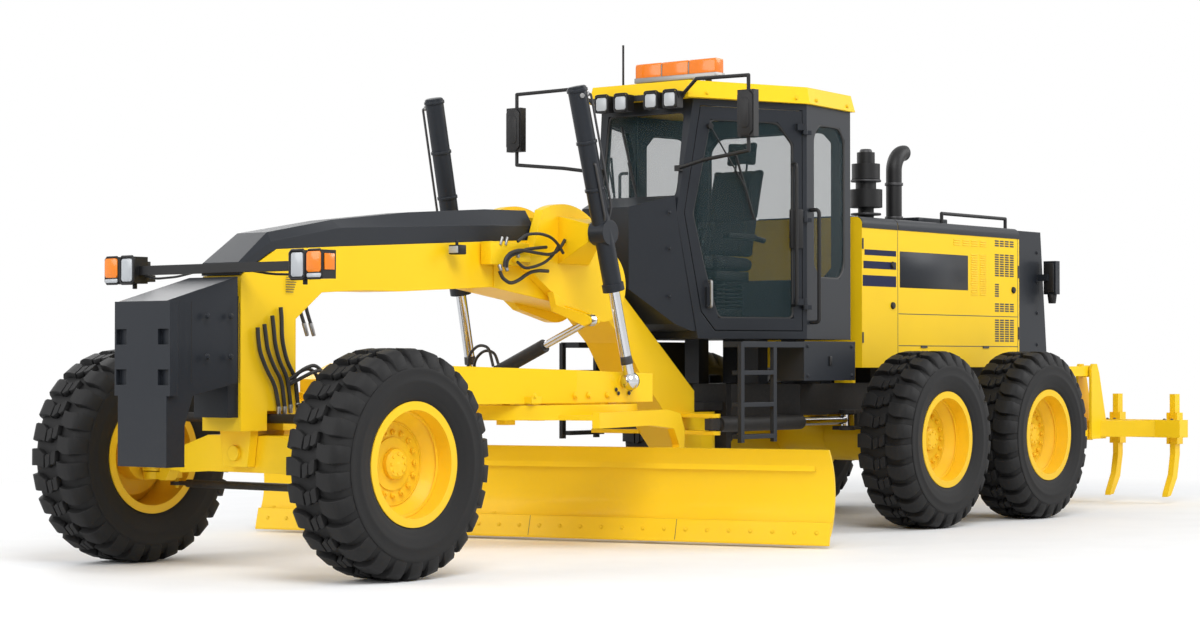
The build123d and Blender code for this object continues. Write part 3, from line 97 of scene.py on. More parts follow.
def makeDustGroup():
    group, source, sink = newGroup("dustyFinish", [
        ("Vector", "NodeSocketVector", None), ("Paint", "NodeSocketColor", (0.8, 0.5, 0.02, 1)),
        ("Dust", "NodeSocketColor", (0.35, 0.30, 0.24, 1)), ("Amount", "NodeSocketFloat", 0.2),
        ("Height", "NodeSocketFloat", 1.2), ("Roughness", "NodeSocketFloat", 0.3)],
        [("Color", "NodeSocketColor"), ("Roughness", "NodeSocketFloat")])
    vector = source.outputs["Vector"]
    cloud = addNoise(group, vector, 2.2, 5.0, 0.6)
    speck = addNoise(group, vector, 38.0, 4.0, 0.65)
    split = group.nodes.new("ShaderNodeSeparateXYZ")
    group.links.new(vector, split.inputs[0])
    ratio = addMath(group, "DIVIDE", split.outputs["Z"], source.outputs["Height"])
    low = addMath(group, "SUBTRACT", 1.0, ratio, clamp=True)
    grain = addMath(group, "MULTIPLY", cloud, speck)
    mask = addMath(group, "MULTIPLY", grain, addMath(group, "MULTIPLY_ADD", low, 1.6, 0.35))
    mask = addMath(group, "MULTIPLY", mask, source.outputs["Amount"], clamp=True)
    tint = addMath(group, "MULTIPLY_ADD", cloud, 0.10, 0.95)
    shade = group.nodes.new("ShaderNodeVectorMath")
    shade.operation = "SCALE"
    group.links.new(source.outputs["Paint"], shade.inputs[0])
    group.links.new(tint, shade.inputs["Scale"])
    color = addMix(group, mask, shade.outputs[0], source.outputs["Dust"])
    rough = addMath(group, "MULTIPLY_ADD", mask, 0.6, source.outputs["Roughness"])
    group.links.new(color, sink.inputs["Color"])
    group.links.new(addMath(group, "MULTIPLY_ADD", cloud, 0.08, rough), sink.inputs["Roughness"])
    return group


def makePeelGroup():
    group, source, sink = newGroup("surfacePeel", [
        ("Vector", "NodeSocketVector", None), ("Scale", "NodeSocketFloat", 120.0),
        ("Coarse", "NodeSocketFloat", 0.3)],
        [("Height", "NodeSocketFloat")])
    fine = addNoise(group, source.outputs["Vector"], source.outputs["Scale"], 2.0)
    coarseScale = addMath(group, "MULTIPLY", source.outputs["Scale"], 0.07)
    coarse = addNoise(group, source.outputs["Vector"], coarseScale, 3.0)
    part = addMath(group, "MULTIPLY", coarse, source.outputs["Coarse"])
    group.links.new(addMath(group, "ADD", fine, part), sink.inputs["Height"])
    return group


dustGroup = makeDustGroup()
peelGroup = makePeelGroup()


def addGroup(tree, group, **values):
    node = tree.nodes.new("ShaderNodeGroup")
    node.node_tree = group
    for key, value in values.items():
        node.inputs[key].default_value = value
    return node


def makeFinish(name, color, roughness=0.35, dust=0.2, dustColor=(0.36, 0.31, 0.25), height=1.2, peel=120.0,
               bump=0.05, distance=0.001, coarse=0.3, metallic=0.0, coat=0.0, coatRoughness=0.08, specular=0.5,
               edge=0.0):
    material = bpy.data.materials.new(name)
    material.use_nodes = True
    tree = material.node_tree
    shader = tree.nodes["Principled BSDF"]
    place = tree.nodes.new("ShaderNodeTexCoord")
    finish = addGroup(tree, dustGroup, Paint=(*color, 1), Dust=(*dustColor, 1), Amount=dust, Height=height,
                      Roughness=roughness)
    tree.links.new(place.outputs["Object"], finish.inputs["Vector"])
    tree.links.new(finish.outputs["Color"], shader.inputs["Base Color"])
    tree.links.new(finish.outputs["Roughness"], shader.inputs["Roughness"])
    texture = addGroup(tree, peelGroup, Scale=peel, Coarse=coarse)
    tree.links.new(place.outputs["Object"], texture.inputs["Vector"])
    relief = tree.nodes.new("ShaderNodeBump")
    relief.inputs["Strength"].default_value = bump
    relief.inputs["Distance"].default_value = distance
    tree.links.new(texture.outputs["Height"], relief.inputs["Height"])
    if edge:
        rounded = tree.nodes.new("ShaderNodeBevel")
        rounded.samples = 6
        rounded.inputs["Radius"].default_value = edge
        tree.links.new(rounded.outputs["Normal"], relief.inputs["Normal"])
    tree.links.new(relief.outputs["Normal"], shader.inputs["Normal"])
    shader.inputs["Metallic"].default_value = metallic
    shader.inputs["Coat Weight"].default_value = coat
    shader.inputs["Coat Roughness"].default_value = coatRoughness
    shader.inputs["Specular IOR Level"].default_value = specular
    return material


def makeGlass(name, color, alpha, roughness=0.03):
    material = makeFinish(name, color, roughness, dust=0.05, height=0.5, bump=0.0, specular=0.25)
    shader = material.node_tree.nodes["Principled BSDF"]
    shader.inputs["Alpha"].default_value = alpha
    return material


def makeGlow(name, color, strength, roughness=0.12):
    material = makeFinish(name, color, roughness, dust=0.05, bump=0.35, peel=160.0, coat=0.2, specular=0.4)
    shader = material.node_tree.nodes["Principled BSDF"]
    shader.inputs["Emission Color"].default_value = (*color, 1)
    shader.inputs["Emission Strength"].default_value = strength
    return material


finish = {
    "yellow": makeFinish("machineYellow", (0.95, 0.61, 0.006), 0.36, dust=0.10, bump=0.04, coat=0.06, specular=0.22,
                         edge=0.007),
    "rimYellow": makeFinish("wheelYellow", (0.93, 0.57, 0.006), 0.38, dust=0.22, bump=0.06, coat=0.05, specular=0.22,
                            edge=0.005),
    "charcoal": makeFinish("charcoalPaint", (0.0135, 0.0165, 0.022), 0.36, dust=0.05, bump=0.04, coat=0.05,
                           specular=0.22, edge=0.006),
    "chassis": makeFinish("chassisPaint", (0.012, 0.0125, 0.014), 0.5, dust=0.18, bump=0.10, peel=70,
                          specular=0.25, edge=0.005),
    "rubber": makeFinish("tyreRubber", (0.0075, 0.0075, 0.008), 0.60, dust=0.14, dustColor=(0.06, 0.056, 0.052),
                         height=1.6, peel=150, bump=0.25, distance=0.0008, specular=0.28),
    "hose": makeFinish("hoseRubber", (0.012, 0.012, 0.013), 0.5, dust=0.15, peel=260, bump=0.12),
    "chrome": makeFinish("hardChrome", (0.62, 0.63, 0.65), 0.10, dust=0.03, bump=0.01, metallic=1.0),
    "steel": makeFinish("wornSteel", (0.30, 0.30, 0.30), 0.38, dust=0.15, bump=0.20, peel=60, metallic=0.9),
    "darkSteel": makeFinish("darkSteel", (0.06, 0.06, 0.063), 0.45, dust=0.15, bump=0.15, metallic=0.7),
    "plastic": makeFinish("blackPlastic", (0.010, 0.010, 0.011), 0.42, dust=0.05, peel=400, bump=0.20, specular=0.3,
                          edge=0.004),
    "cloth": makeFinish("seatCloth", (0.022, 0.022, 0.025), 0.85, dust=0.05, peel=700, bump=0.22, distance=0.001),
    "glass": makeGlass("cabGlass", (0.030, 0.062, 0.070), 0.20),
    "mirror": makeFinish("mirrorFace", (0.75, 0.77, 0.80), 0.03, dust=0.02, bump=0.0, metallic=1.0),
    "lens": makeGlow("clearLens", (0.42, 0.44, 0.46), 0.03),
    "amber": makeGlow("amberLens", (0.80, 0.20, 0.003), 0.05),
    "red": makeGlow("redLens", (0.42, 0.008, 0.006), 0.06),
    "blueStripe": makeFinish("stripeBlue", (0.005, 0.009, 0.048), 0.38, dust=0.02, specular=0.15),
    "plate": makeFinish("barePlate", (0.55, 0.56, 0.57), 0.35, dust=0.05, metallic=0.3),
}
print("finishes made:", len(finish))


def boxSolid(x, y, z):
    corners = [(a, b, c) for a in sorted(x) for b in sorted(y) for c in sorted(z)]
    return corners, [(0, 1, 3, 2), (4, 6, 7, 5), (0, 4, 5, 1), (2, 3, 7, 6), (0, 2, 6, 4), (1, 5, 7, 3)]


def crossFrame(direction):
    forward = Vector(direction).normalized()
    helper = Vector((0, 0, 1)) if abs(forward.z) < 0.9 else Vector((1, 0, 0))
    right = forward.cross(helper).normalized()
    return right, right.cross(forward).normalized()


def roundBar(start, end, radius, endRadius=None, steps=20):
    endRadius = radius if endRadius is None else endRadius
    right, up = crossFrame(Vector(end) - Vector(start))
    verts = []
    for centre, size in ((start, radius), (end, endRadius)):
        for k in range(steps):
            turn = 2 * math.pi * k / steps
            verts.append(tuple(Vector(centre) + size * (math.cos(turn) * right + math.sin(turn) * up)))
    faces = [(k, k + steps, (k + 1) % steps + steps, (k + 1) % steps) for k in range(steps)]
    return verts, faces + [tuple(range(steps)), tuple(reversed(range(steps, 2 * steps)))]


def tubeAlong(points, radius, steps=12, closed=False):
    path = [Vector(p) for p in points]
    count = len(path)
    verts, faces = [], []
    right, up = crossFrame(path[1] - path[0])
    for k, point in enumerate(path):
        before = path[k - 1] if k or closed else path[0]
        after = path[(k + 1) % count] if k + 1 < count or closed else path[-1]
        forward = (after - before).normalized()
        right = (right - forward * right.dot(forward)).normalized()
        up = right.cross(forward)
        for j in range(steps):
            turn = 2 * math.pi * j / steps
            verts.append(tuple(point + radius * (math.cos(turn) * right + math.sin(turn) * up)))
    for k in range(count if closed else count - 1):
        a, b = k * steps, ((k + 1) % count) * steps
        faces += [(a + j, b + j, b + (j + 1) % steps, a + (j + 1) % steps) for j in range(steps)]
    if not closed:
        faces += [tuple(range(steps)), tuple(reversed(range((count - 1) * steps, count * steps)))]
    return verts, faces


def smoothPath(corners, radius, perTurn=6):
    path = [Vector(corners[0])]
    for before, corner, after in zip(corners, corners[1:], corners[2:]):
        corner = Vector(corner)
        toward = (Vector(before) - corner)
        away = (Vector(after) - corner)
        reach = min(radius, toward.length * 0.45, away.length * 0.45)
        a = corner + toward.normalized() * reach
        b = corner + away.normalized() * reach
        for k in range(perTurn + 1):
            t = k / perTurn
            path.append(a * (1 - t) ** 2 + corner * 2 * t * (1 - t) + b * t ** 2)
    path.append(Vector(corners[-1]))
    return path


def prism(outline, depth):
    count = len(outline)
    verts = [tuple(p) for p in outline] + [tuple(Vector(p) + Vector(depth)) for p in outline]
    faces = [(k, (k + 1) % count, (k + 1) % count + count, k + count) for k in range(count)]
    return verts, faces + [tuple(reversed(range(count))), tuple(range(count, 2 * count))]


def spunRings(profile, origin, axis, steps=48):
    axis = Vector(axis).normalized()
    right, up = crossFrame(axis)
    verts, faces = [], []
    for k in range(steps):
        turn = 2 * math.pi * k / steps
        outward = math.cos(turn) * right + math.sin(turn) * up
        verts += [tuple(Vector(origin) + outward * r + axis * a) for r, a in profile]
    size = len(profile)
    for k in range(steps):
        a, b = k * size, ((k + 1) % steps) * size
        faces += [(a + j, b + j, b + j + 1, a + j + 1) for j in range(size - 1)]
    return verts, faces


def boxesAt(rows, side=1):
    return [boxSolid((x0, x1), (side * y0, side * y1), (z0, z1)) for x0, x1, y0, y1, z0, z1 in rows]


def barsAt(rows, side=1):
    return [roundBar((xa, side * ya, za), (xb, side * yb, zb), *rest) for (xa, ya, za), (xb, yb, zb), *rest in rows]


def joinSolids(solids):
    verts, faces = [], []
    for partVerts, partFaces in solids:
        shift = len(verts)
        verts += [tuple(p) for p in partVerts]
        faces += [tuple(i + shift for i in face) for face in partFaces]
    return verts, faces


def linkObject(name, data):
    made = bpy.data.objects.new(name, data)
    bpy.context.scene.collection.objects.link(made)
    return made


meshPlan = {"smoothAngle": 38, "bevelAngle": 35, "merge": 1e-6}


def sharpen(mesh, angle=meshPlan["smoothAngle"]):
    mesh.polygons.foreach_set("use_smooth", [True] * len(mesh.polygons))
    mesh.set_sharp_from_angle(angle=math.radians(angle))


def makeMesh(name, solids, bevel=0.0, segments=2):
    verts, faces = joinSolids(solids)
    mesh = bpy.data.meshes.new(name)
    mesh.from_pydata(verts, [], faces)
    mesh.validate()
    work = bmesh.new()
    work.from_mesh(mesh)
    bmesh.ops.remove_doubles(work, verts=work.verts, dist=meshPlan["merge"])
    bmesh.ops.recalc_face_normals(work, faces=work.faces)
    if bevel:
        limit = math.radians(meshPlan["bevelAngle"])
        sharp = [e for e in work.edges if len(e.link_faces) == 2 and e.calc_face_angle(0) > limit]
        bmesh.ops.bevel(work, geom=sharp, offset=bevel, segments=segments, profile=0.5, affect="EDGES",
                        clamp_overlap=True)
    work.to_mesh(mesh)
    work.free()
    sharpen(mesh)
    return mesh


def addPiece(name, solids, paint, body, bevel=0.0):
    piece = linkObject(name, makeMesh(name, solids, bevel))
    piece.data.materials.append(finish[paint])
    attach(piece, body)
    return piece


def newTree(name, inputs):
    tree = bpy.data.node_groups.new(name, "GeometryNodeTree")
    tree.interface.new_socket(name="Geometry", in_out="INPUT", socket_type="NodeSocketGeometry")
    for socketName, kind, value in inputs:
        socket = tree.interface.new_socket(name=socketName, in_out="INPUT", socket_type=kind)
        if value is not None:
            socket.default_value = value
    tree.interface.new_socket(name="Geometry", in_out="OUTPUT", socket_type="NodeSocketGeometry")
    return tree, tree.nodes.new("NodeGroupInput"), tree.nodes.new("NodeGroupOutput")


def paintReal(tree, place, source, sink):
    real = tree.nodes.new("GeometryNodeRealizeInstances")
    tree.links.new(place.outputs[0], real.inputs[0])
    paint = tree.nodes.new("GeometryNodeSetMaterial")
    tree.links.new(real.outputs[0], paint.inputs["Geometry"])
    tree.links.new(source.outputs["Finish"], paint.inputs["Material"])
    tree.links.new(paint.outputs[0], sink.inputs[0])
    return tree


def makeRingTree():
    tree, source, sink = newTree("repeatAroundAxis", [
        ("Count", "NodeSocketInt", 12), ("Start", "NodeSocketFloat", 0.0), ("Finish", "NodeSocketMaterial", None)])
    add, link = tree.nodes.new, tree.links.new
    line = add("GeometryNodeMeshLine")
    line.mode = "OFFSET"
    link(source.outputs["Count"], line.inputs["Count"])
    line.inputs["Offset"].default_value = (0, 0, 0)
    index = add("GeometryNodeInputIndex")
    step = addMath(tree, "DIVIDE", 2 * math.pi, source.outputs["Count"])
    turn = addMath(tree, "MULTIPLY_ADD", index.outputs[0], step, source.outputs["Start"])
    spin = add("ShaderNodeCombineXYZ")
    link(turn, spin.inputs["Y"])
    place = add("GeometryNodeInstanceOnPoints")
    link(line.outputs["Mesh"], place.inputs["Points"])
    link(source.outputs["Geometry"], place.inputs["Instance"])
    link(spin.outputs[0], place.inputs["Rotation"])
    return paintReal(tree, place, source, sink)


def makePointTree():
    tree, source, sink = newTree("placeOnPoints", [
        ("Item", "NodeSocketObject", None), ("Size", "NodeSocketFloat", 1.0), ("Finish", "NodeSocketMaterial", None)])
    add, link = tree.nodes.new, tree.links.new
    facing = add("GeometryNodeInputNamedAttribute")
    facing.data_type = "FLOAT_VECTOR"
    facing.inputs["Name"].default_value = "facing"
    align = add("FunctionNodeAlignRotationToVector")
    align.axis = "Z"
    link(facing.outputs["Attribute"], align.inputs["Vector"])
    item = add("GeometryNodeObjectInfo")
    link(source.outputs["Item"], item.inputs["Object"])
    place = add("GeometryNodeInstanceOnPoints")
    link(source.outputs["Geometry"], place.inputs["Points"])
    link(item.outputs["Geometry"], place.inputs["Instance"])
    link(align.outputs[0], place.inputs["Rotation"])
    link(source.outputs["Size"], place.inputs["Scale"])
    return paintReal(tree, place, source, sink)


ringTree = makeRingTree()
pointTree = makePointTree()


def runTree(seed, tree, values):
    modifier = seed.modifiers.new("tree", "NODES")
    modifier.node_group = tree
    for item in tree.interface.items_tree:
        if item.in_out == "INPUT" and item.name in values:
            modifier[item.identifier] = values[item.name]
    bpy.context.view_layer.update()
    ready = seed.evaluated_get(bpy.context.evaluated_depsgraph_get())
    mesh = bpy.data.meshes.new_from_object(ready)
    seed.modifiers.remove(modifier)
    return mesh


def itemObject(name, solids, bevel=0.0):
    item = linkObject(name, makeMesh(name, solids, bevel, 1))
    item.hide_render = True
    return item


def placeItems(name, item, spots, paint, body, size=1.0):
    mesh = bpy.data.meshes.new(name + "Spots")
    mesh.from_pydata([tuple(spot) for spot, direction in spots], [], [])
    facing = mesh.attributes.new("facing", "FLOAT_VECTOR", "POINT")
    for k, (spot, direction) in enumerate(spots):
        facing.data[k].vector = Vector(direction).normalized()
    seed = linkObject(name + "Seed", mesh)
    made = runTree(seed, pointTree, {"Item": item, "Size": size, "Finish": finish[paint]})
    bpy.data.objects.remove(seed)
    made.name = name
    sharpen(made)
    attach(linkObject(name, made), body)


def mirrored(spots):
    return [((x, side * y, z), (a, side * b, c)) for side in (1, -1) for x, y, z, a, b, c in spots]


stage = {"eye": (14.806, 10.961, 1.230), "look": (-0.7818, -0.6233, 0.0177), "lens": 76.8, "sensor": 36, "reach": 200,
         "floor": 60.0, "near": 6.5, "far": 10.0, "sky": (0.93, 0.96, 1.0, 1), "skyStrength": 0.42}


def placeCamera():
    lens = bpy.data.cameras.new("camera")
    lens.lens = stage["lens"]
    lens.sensor_width = stage["sensor"]
    lens.clip_end = stage["reach"]
    camera = linkObject("camera", lens)
    camera.location = stage["eye"]
    camera.rotation_euler = Vector(stage["look"]).to_track_quat("-Z", "Y").to_euler()
    bpy.context.scene.camera = camera


def addLamp(name, place, target, size, power):
    light = bpy.data.lights.new(name, "AREA")
    light.shape = "DISK"
    light.size = size
    light.energy = power
    lamp = linkObject(name, light)
    lamp.location = place
    lamp.rotation_euler = (Vector(target) - Vector(place)).to_track_quat("-Z", "Y").to_euler()


def seenDirectly(tree):
    path = tree.nodes.new("ShaderNodeLightPath")
    seen = addMath(tree, "MAXIMUM", path.outputs["Is Camera Ray"], path.outputs["Is Transmission Ray"])
    return addMath(tree, "MAXIMUM", seen, path.outputs["Is Glossy Ray"])


def mixIn(tree, share, plain, white):
    mix = tree.nodes.new("ShaderNodeMixShader")
    tree.links.new(share, mix.inputs[0])
    tree.links.new(plain, mix.inputs[1])
    tree.links.new(white, mix.inputs[2])
    return mix.outputs[0]


def makeWorld():
    world = bpy.data.worlds.new("studio")
    bpy.context.scene.world = world
    world.use_nodes = True
    tree = world.node_tree
    base = tree.nodes["Background"]
    base.inputs["Color"].default_value = stage["sky"]
    base.inputs["Strength"].default_value = stage["skyStrength"]
    white = tree.nodes.new("ShaderNodeBackground")
    white.inputs["Color"].default_value = (1, 1, 1, 1)
    result = mixIn(tree, seenDirectly(tree), base.outputs[0], white.outputs[0])
    tree.links.new(result, tree.nodes["World Output"].inputs["Surface"])


def makeFloor():
    half = stage["floor"]
    mesh = bpy.data.meshes.new("studioFloor")
    mesh.from_pydata([(-half, -half, 0), (half, -half, 0), (half, half, 0), (-half, half, 0)], [], [(0, 1, 2, 3)])
    floor = linkObject("studioFloor", mesh)
    material = makeFinish("studioFloorPaint", (0.92, 0.92, 0.92), 0.6, dust=0.0, bump=0.0, specular=0.2)
    tree = material.node_tree
    place = tree.nodes.new("ShaderNodeTexCoord")
    reach = tree.nodes.new("ShaderNodeVectorMath")
    reach.operation = "LENGTH"
    tree.links.new(place.outputs["Object"], reach.inputs[0])
    fade = tree.nodes.new("ShaderNodeMapRange")
    fade.interpolation_type = "SMOOTHSTEP"
    fade.inputs["From Min"].default_value = stage["near"]
    fade.inputs["From Max"].default_value = stage["far"]
    tree.links.new(reach.outputs["Value"], fade.inputs["Value"])
    white = tree.nodes.new("ShaderNodeEmission")
    share = addMath(tree, "MULTIPLY", seenDirectly(tree), fade.outputs[0])
    result = mixIn(tree, share, tree.nodes["Principled BSDF"].outputs[0], white.outputs[0])
    tree.links.new(result, tree.nodes["Material Output"].inputs["Surface"])
    mesh.materials.append(material)


bpy.context.scene.view_settings.view_transform = "Standard"
placeCamera()
makeWorld()
makeFloor()
# each lamp: place, target, size, power
lamps = {"keySoft": ((9, 9, 11), (0.5, 0, 1.2), 9, 1500), "fillFront": ((13, -4, 6), (1.5, 0, 1.2), 8, 500),
         "rearSoft": ((-9, 8, 8), (-2, 0, 1.2), 8, 700), "farSide": ((-2, -12, 8), (0, 0, 1.2), 9, 500)}
for name, lamp in lamps.items():
    addLamp(name, *lamp)
print("camera and studio set")


dress = {
    "yellow": ["hood", "cab_roof", "front_frame", "front_axle", "saddle", "lean_left", "lean_right", "knuckle_left",
               "knuckle_right", "drawbar", "circle", "blade_carrier", "moldboard", "tandem_axle", "ripper_arm",
               "ripper_link", "ripper_frame", "ripper_shanks"],
    "charcoal": ["cab_frame", "cab_nose", "frame_cover", "push_plate", "door_left", "door_right", "side_boxes",
                 "radiator_guard", "lift_barrel_left", "lift_barrel_right", "ripper_barrel"],
    "chassis": ["rear_frame", "engine_block", "tie_rod", "lean_bar", "turn_barrel_left", "turn_barrel_right",
                "shift_barrel"],
    "chrome": ["lift_rod_left", "lift_rod_right", "turn_rod_left", "turn_rod_right", "shift_rod", "ripper_rod"],
    "steel": ["tie_rod_end"],
    "plastic": ["cab_console", "cab_seat", "cab_fittings", "headlamps", "stacks"],
    "rubber": ["tyre_" + wheel for wheel in wheelNames],
    "rimYellow": ["rim_" + wheel for wheel in wheelNames]}
for paint, names in dress.items():
    for name in names:
        for slot in nodes[name].material_slots:
            slot.material = finish[paint]
print("frame dressed")


tyreStyle = {"radius": 0.650, "groove": 0.618, "bead": 0.1817, "seat": 0.317, "flange": 0.355, "pitches": 26,
             "lug": 0.049, "block": 0.041, "draft": 0.005, "root": 0.006, "ringSteps": 120, "crownHalf": 0.150,
             "sag": 0.004, "shoulder": 0.0675, "drop": 0.072, "lugHeight": 0.034, "blockHeight": 0.033}
lugOuter = [(0.058, -0.020, 0.80, 1), (0.085, -0.006, 0.92, 1), (0.112, 0.002, 1, 1), (0.150, 0.004, 1.04, 1),
            (0.178, 0.002, 1.04, 1), (0.198, 0.000, 1.02, 0.95), (0.211, -0.002, 1, 0.62), (0.2165, -0.003, 0.92, 0.30)]
lugInner = [(0.004, 0.040, 0.70, 1), (0.026, 0.030, 1, 1), (0.046, 0.022, 0.82, 1)]
sidewall = [(tyreStyle["seat"], tyreStyle["bead"]), (0.345, tyreStyle["bead"]), (tyreStyle["flange"], 0.186),
            (0.366, 0.195), (0.378, 0.2035), (0.392, 0.2045), (0.398, 0.208), (0.430, 0.215), (0.455, 0.2205),
            (0.462, 0.2225), (0.474, 0.2225), (0.480, 0.2205), (0.520, 0.221), (0.535, 0.2225), (0.541, 0.2200)]
crownAcross = (0.2165, 0.210, 0.200, 0.188, 0.172, 0.150, 0.110, 0.060, 0.0)


def crownRadius(y):
    across = abs(y)
    half, sag = tyreStyle["crownHalf"], tyreStyle["sag"]
    if across < half:
        return tyreStyle["groove"] - sag * (across / half) ** 2
    t = min(1.0, (across - half) / tyreStyle["shoulder"])
    return tyreStyle["groove"] - sag - tyreStyle["drop"] * t ** 2.2


def lugRibbon(stations, side, shift, width, height):
    verts, faces = [], []
    draft = tyreStyle["draft"]
    for across, t, share, lift in stations:
        y, half = side * across, width * share
        low = crownRadius(y) - tyreStyle["root"]
        high = min(tyreStyle["radius"] - 0.0002, crownRadius(y) + height * lift)
        for offset, radius in ((-half - draft, low), (-half, high), (half, high), (half + draft, low)):
            turn = (side * t + shift + offset) / tyreStyle["radius"]
            verts.append((radius * math.sin(turn), y, radius * math.cos(turn)))
    for k in range(len(stations) - 1):
        a, b = 4 * k, 4 * k + 4
        faces += [(a + j, a + (j + 1) % 4, b + (j + 1) % 4, b + j) for j in range(4)]
    faces += [(0, 3, 2, 1), tuple(4 * (len(stations) - 1) + j for j in range(4))]
    return verts, faces


def makeTyreMesh():
    pitch = 2 * math.pi * tyreStyle["radius"] / tyreStyle["pitches"]
    lugs = []
    for side, shift in ((1, 0.0), (-1, pitch / 2)):
        lugs.append(lugRibbon(lugOuter, side, shift, tyreStyle["lug"], tyreStyle["lugHeight"]))
        lugs.append(lugRibbon(lugInner, side, shift + pitch * 0.30, tyreStyle["block"], tyreStyle["blockHeight"]))
    seed = linkObject("lugSeed", makeMesh("lugSeed", lugs, 0.0022, 1))
    lugMesh = runTree(seed, ringTree, {"Count": tyreStyle["pitches"], "Start": 0.0, "Finish": finish["rubber"]})
    bpy.data.objects.remove(seed)
    top = sidewall + [(crownRadius(y) - tyreStyle["sag"], y) for y in crownAcross]
    ring = top + [(r, -y) for r, y in reversed(top[:-1])] + [top[0]]
    carcass = makeMesh("carcass", [spunRings(ring, (0, 0, 0), (0, 1, 0), tyreStyle["ringSteps"])])
    work = bmesh.new()
    work.from_mesh(lugMesh)
    work.from_mesh(carcass)
    mesh = bpy.data.meshes.new("tyreMesh")
    work.to_mesh(mesh)
    work.free()
    mesh.materials.append(finish["rubber"])
    sharpen(mesh, 40)
    return mesh


# rows of heads on a wheel: item, ring radius, count, depth, size
rimStyle = {"wheelNuts": ("nut", 0.178, 16, 0.0162, 1.0), "hubStuds": ("stud", 0.120, 10, 0.0162, 1.0),
            "capScrews": ("stud", 0.055, 8, 0.0645, 0.8)}
rimRings = [
    [(0.286, 0.0860), (0.286, 0.0900), (0.300, 0.0935), (0.3025, 0.0935), (0.3025, 0.0860), (0.286, 0.0860)],
    [(0.238, 0.0162), (0.236, 0.0200), (0.228, 0.0200), (0.226, 0.0162), (0.238, 0.0162)],
    [(0.150, 0.0162), (0.150, 0.0230), (0.098, 0.0270), (0.0865, 0.0270), (0.0865, 0.0162), (0.150, 0.0162)]]
tyreMesh = makeTyreMesh()
items = {"nut": itemObject("nutItem", [roundBar((0, 0, 0), (0, 0, 0.016), 0.0165, steps=6),
                                       roundBar((0, 0, 0.014), (0, 0, 0.027), 0.0085, steps=8)], 0.0015),
         "stud": itemObject("studItem", [roundBar((0, 0, 0), (0, 0, 0.008), 0.011, steps=6)], 0.001)}
for wheel in wheelNames:
    label = wheel.title().replace("_", "")
    low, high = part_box("rim_" + wheel)
    x, y, z = ((a + b) / 2 for a, b in zip(low, high))
    side = 1 if wheel.endswith("left") else -1
    body = "wheel_" + wheel
    mesh = tyreMesh.copy()
    mesh.transform(Matrix.Translation((x, y, z)))
    tyre = linkObject("tyre" + label, mesh)
    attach(tyre, body)
    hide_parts("tyre_" + wheel)
    for name, (item, radius, count, depth, size) in rimStyle.items():
        turns = [k * 2 * math.pi / count for k in range(count)]
        spots = [((x + radius * math.cos(t), y + side * depth, z + radius * math.sin(t)), (0, side, 0)) for t in turns]
        placeItems(name + label, items[item], spots, "rimYellow", body, size)
    valve = roundBar((x + 0.262, y + side * 0.060, z), (x + 0.275, y + side * 0.125, z), 0.006, 0.004, 10)
    rings = [spunRings([(r, side * a) for r, a in ring], (x, y, z), (0, 1, 0), 72) for ring in rimRings]
    addPiece("rimRings" + label, rings + [valve], "rimYellow", body)
print("wheels made")


cabPlan = {"pillar": (-0.314, 0.785), "front": (0.650, 0.350), "rear": (-1.010, 0.700), "toeX": 0.494, "browX": 0.525,
           "floor": 1.380, "brow": 2.250, "top": 3.050, "pane": 0.006, "seal": 0.010, "rake": 0.15625}


def wallPoint(sideName, run, z, lift=0.0, end="front"):
    side = sides[sideName]
    ax, ay = cabPlan["pillar"]
    bx, by = cabPlan[end]
    length = math.hypot(bx - ax, by - ay)
    dx, dy = (bx - ax) / length, (by - ay) / length
    nx, ny = (-dy, dx) if end == "front" else (dy, -dx)
    return ax + dx * run + nx * lift, side * (ay + dy * run + ny * lift), z


def slopeRun(z):
    ax, ay = cabPlan["pillar"]
    bx, by = cabPlan["front"]
    length = math.hypot(bx - ax, by - ay)
    share = length / (bx - ax)
    toe, top = (cabPlan["toeX"] - ax) * share, (cabPlan["browX"] - ax) * share
    if z > cabPlan["brow"]:
        return length + (top - length) * (z - cabPlan["brow"]) / (cabPlan["top"] - cabPlan["brow"])
    return toe + (length - toe) * (z - cabPlan["floor"]) / (cabPlan["brow"] - cabPlan["floor"])


def screenX(z, lift=0.0):
    return cabPlan["front"][0] - (z - cabPlan["brow"]) * cabPlan["rake"] + lift


def cutCorners(x0, x1, z0, z1, c):
    x0, x1 = sorted((x0, x1))
    return [(x0 + c, z0), (x1 - c, z0), (x1, z0 + c), (x1, z1 - c), (x1 - c, z1), (x0 + c, z1), (x0, z1 - c),
            (x0, z0 + c)]


def addPane(name, outline, inward, body):
    depth = Vector(inward).normalized() * cabPlan["pane"]
    addPiece(name + "Glass", [prism(outline, depth)], "glass", body)
    front = [Vector(p) - depth * 0.4 for p in outline]
    middle = (front[-1] + front[0]) / 2
    rounded = smoothPath([middle] + front + [middle], 0.05, 4)[:-1]
    addPiece(name + "Seal", [tubeAlong(rounded, cabPlan["seal"], 8, True)], "hose", body)


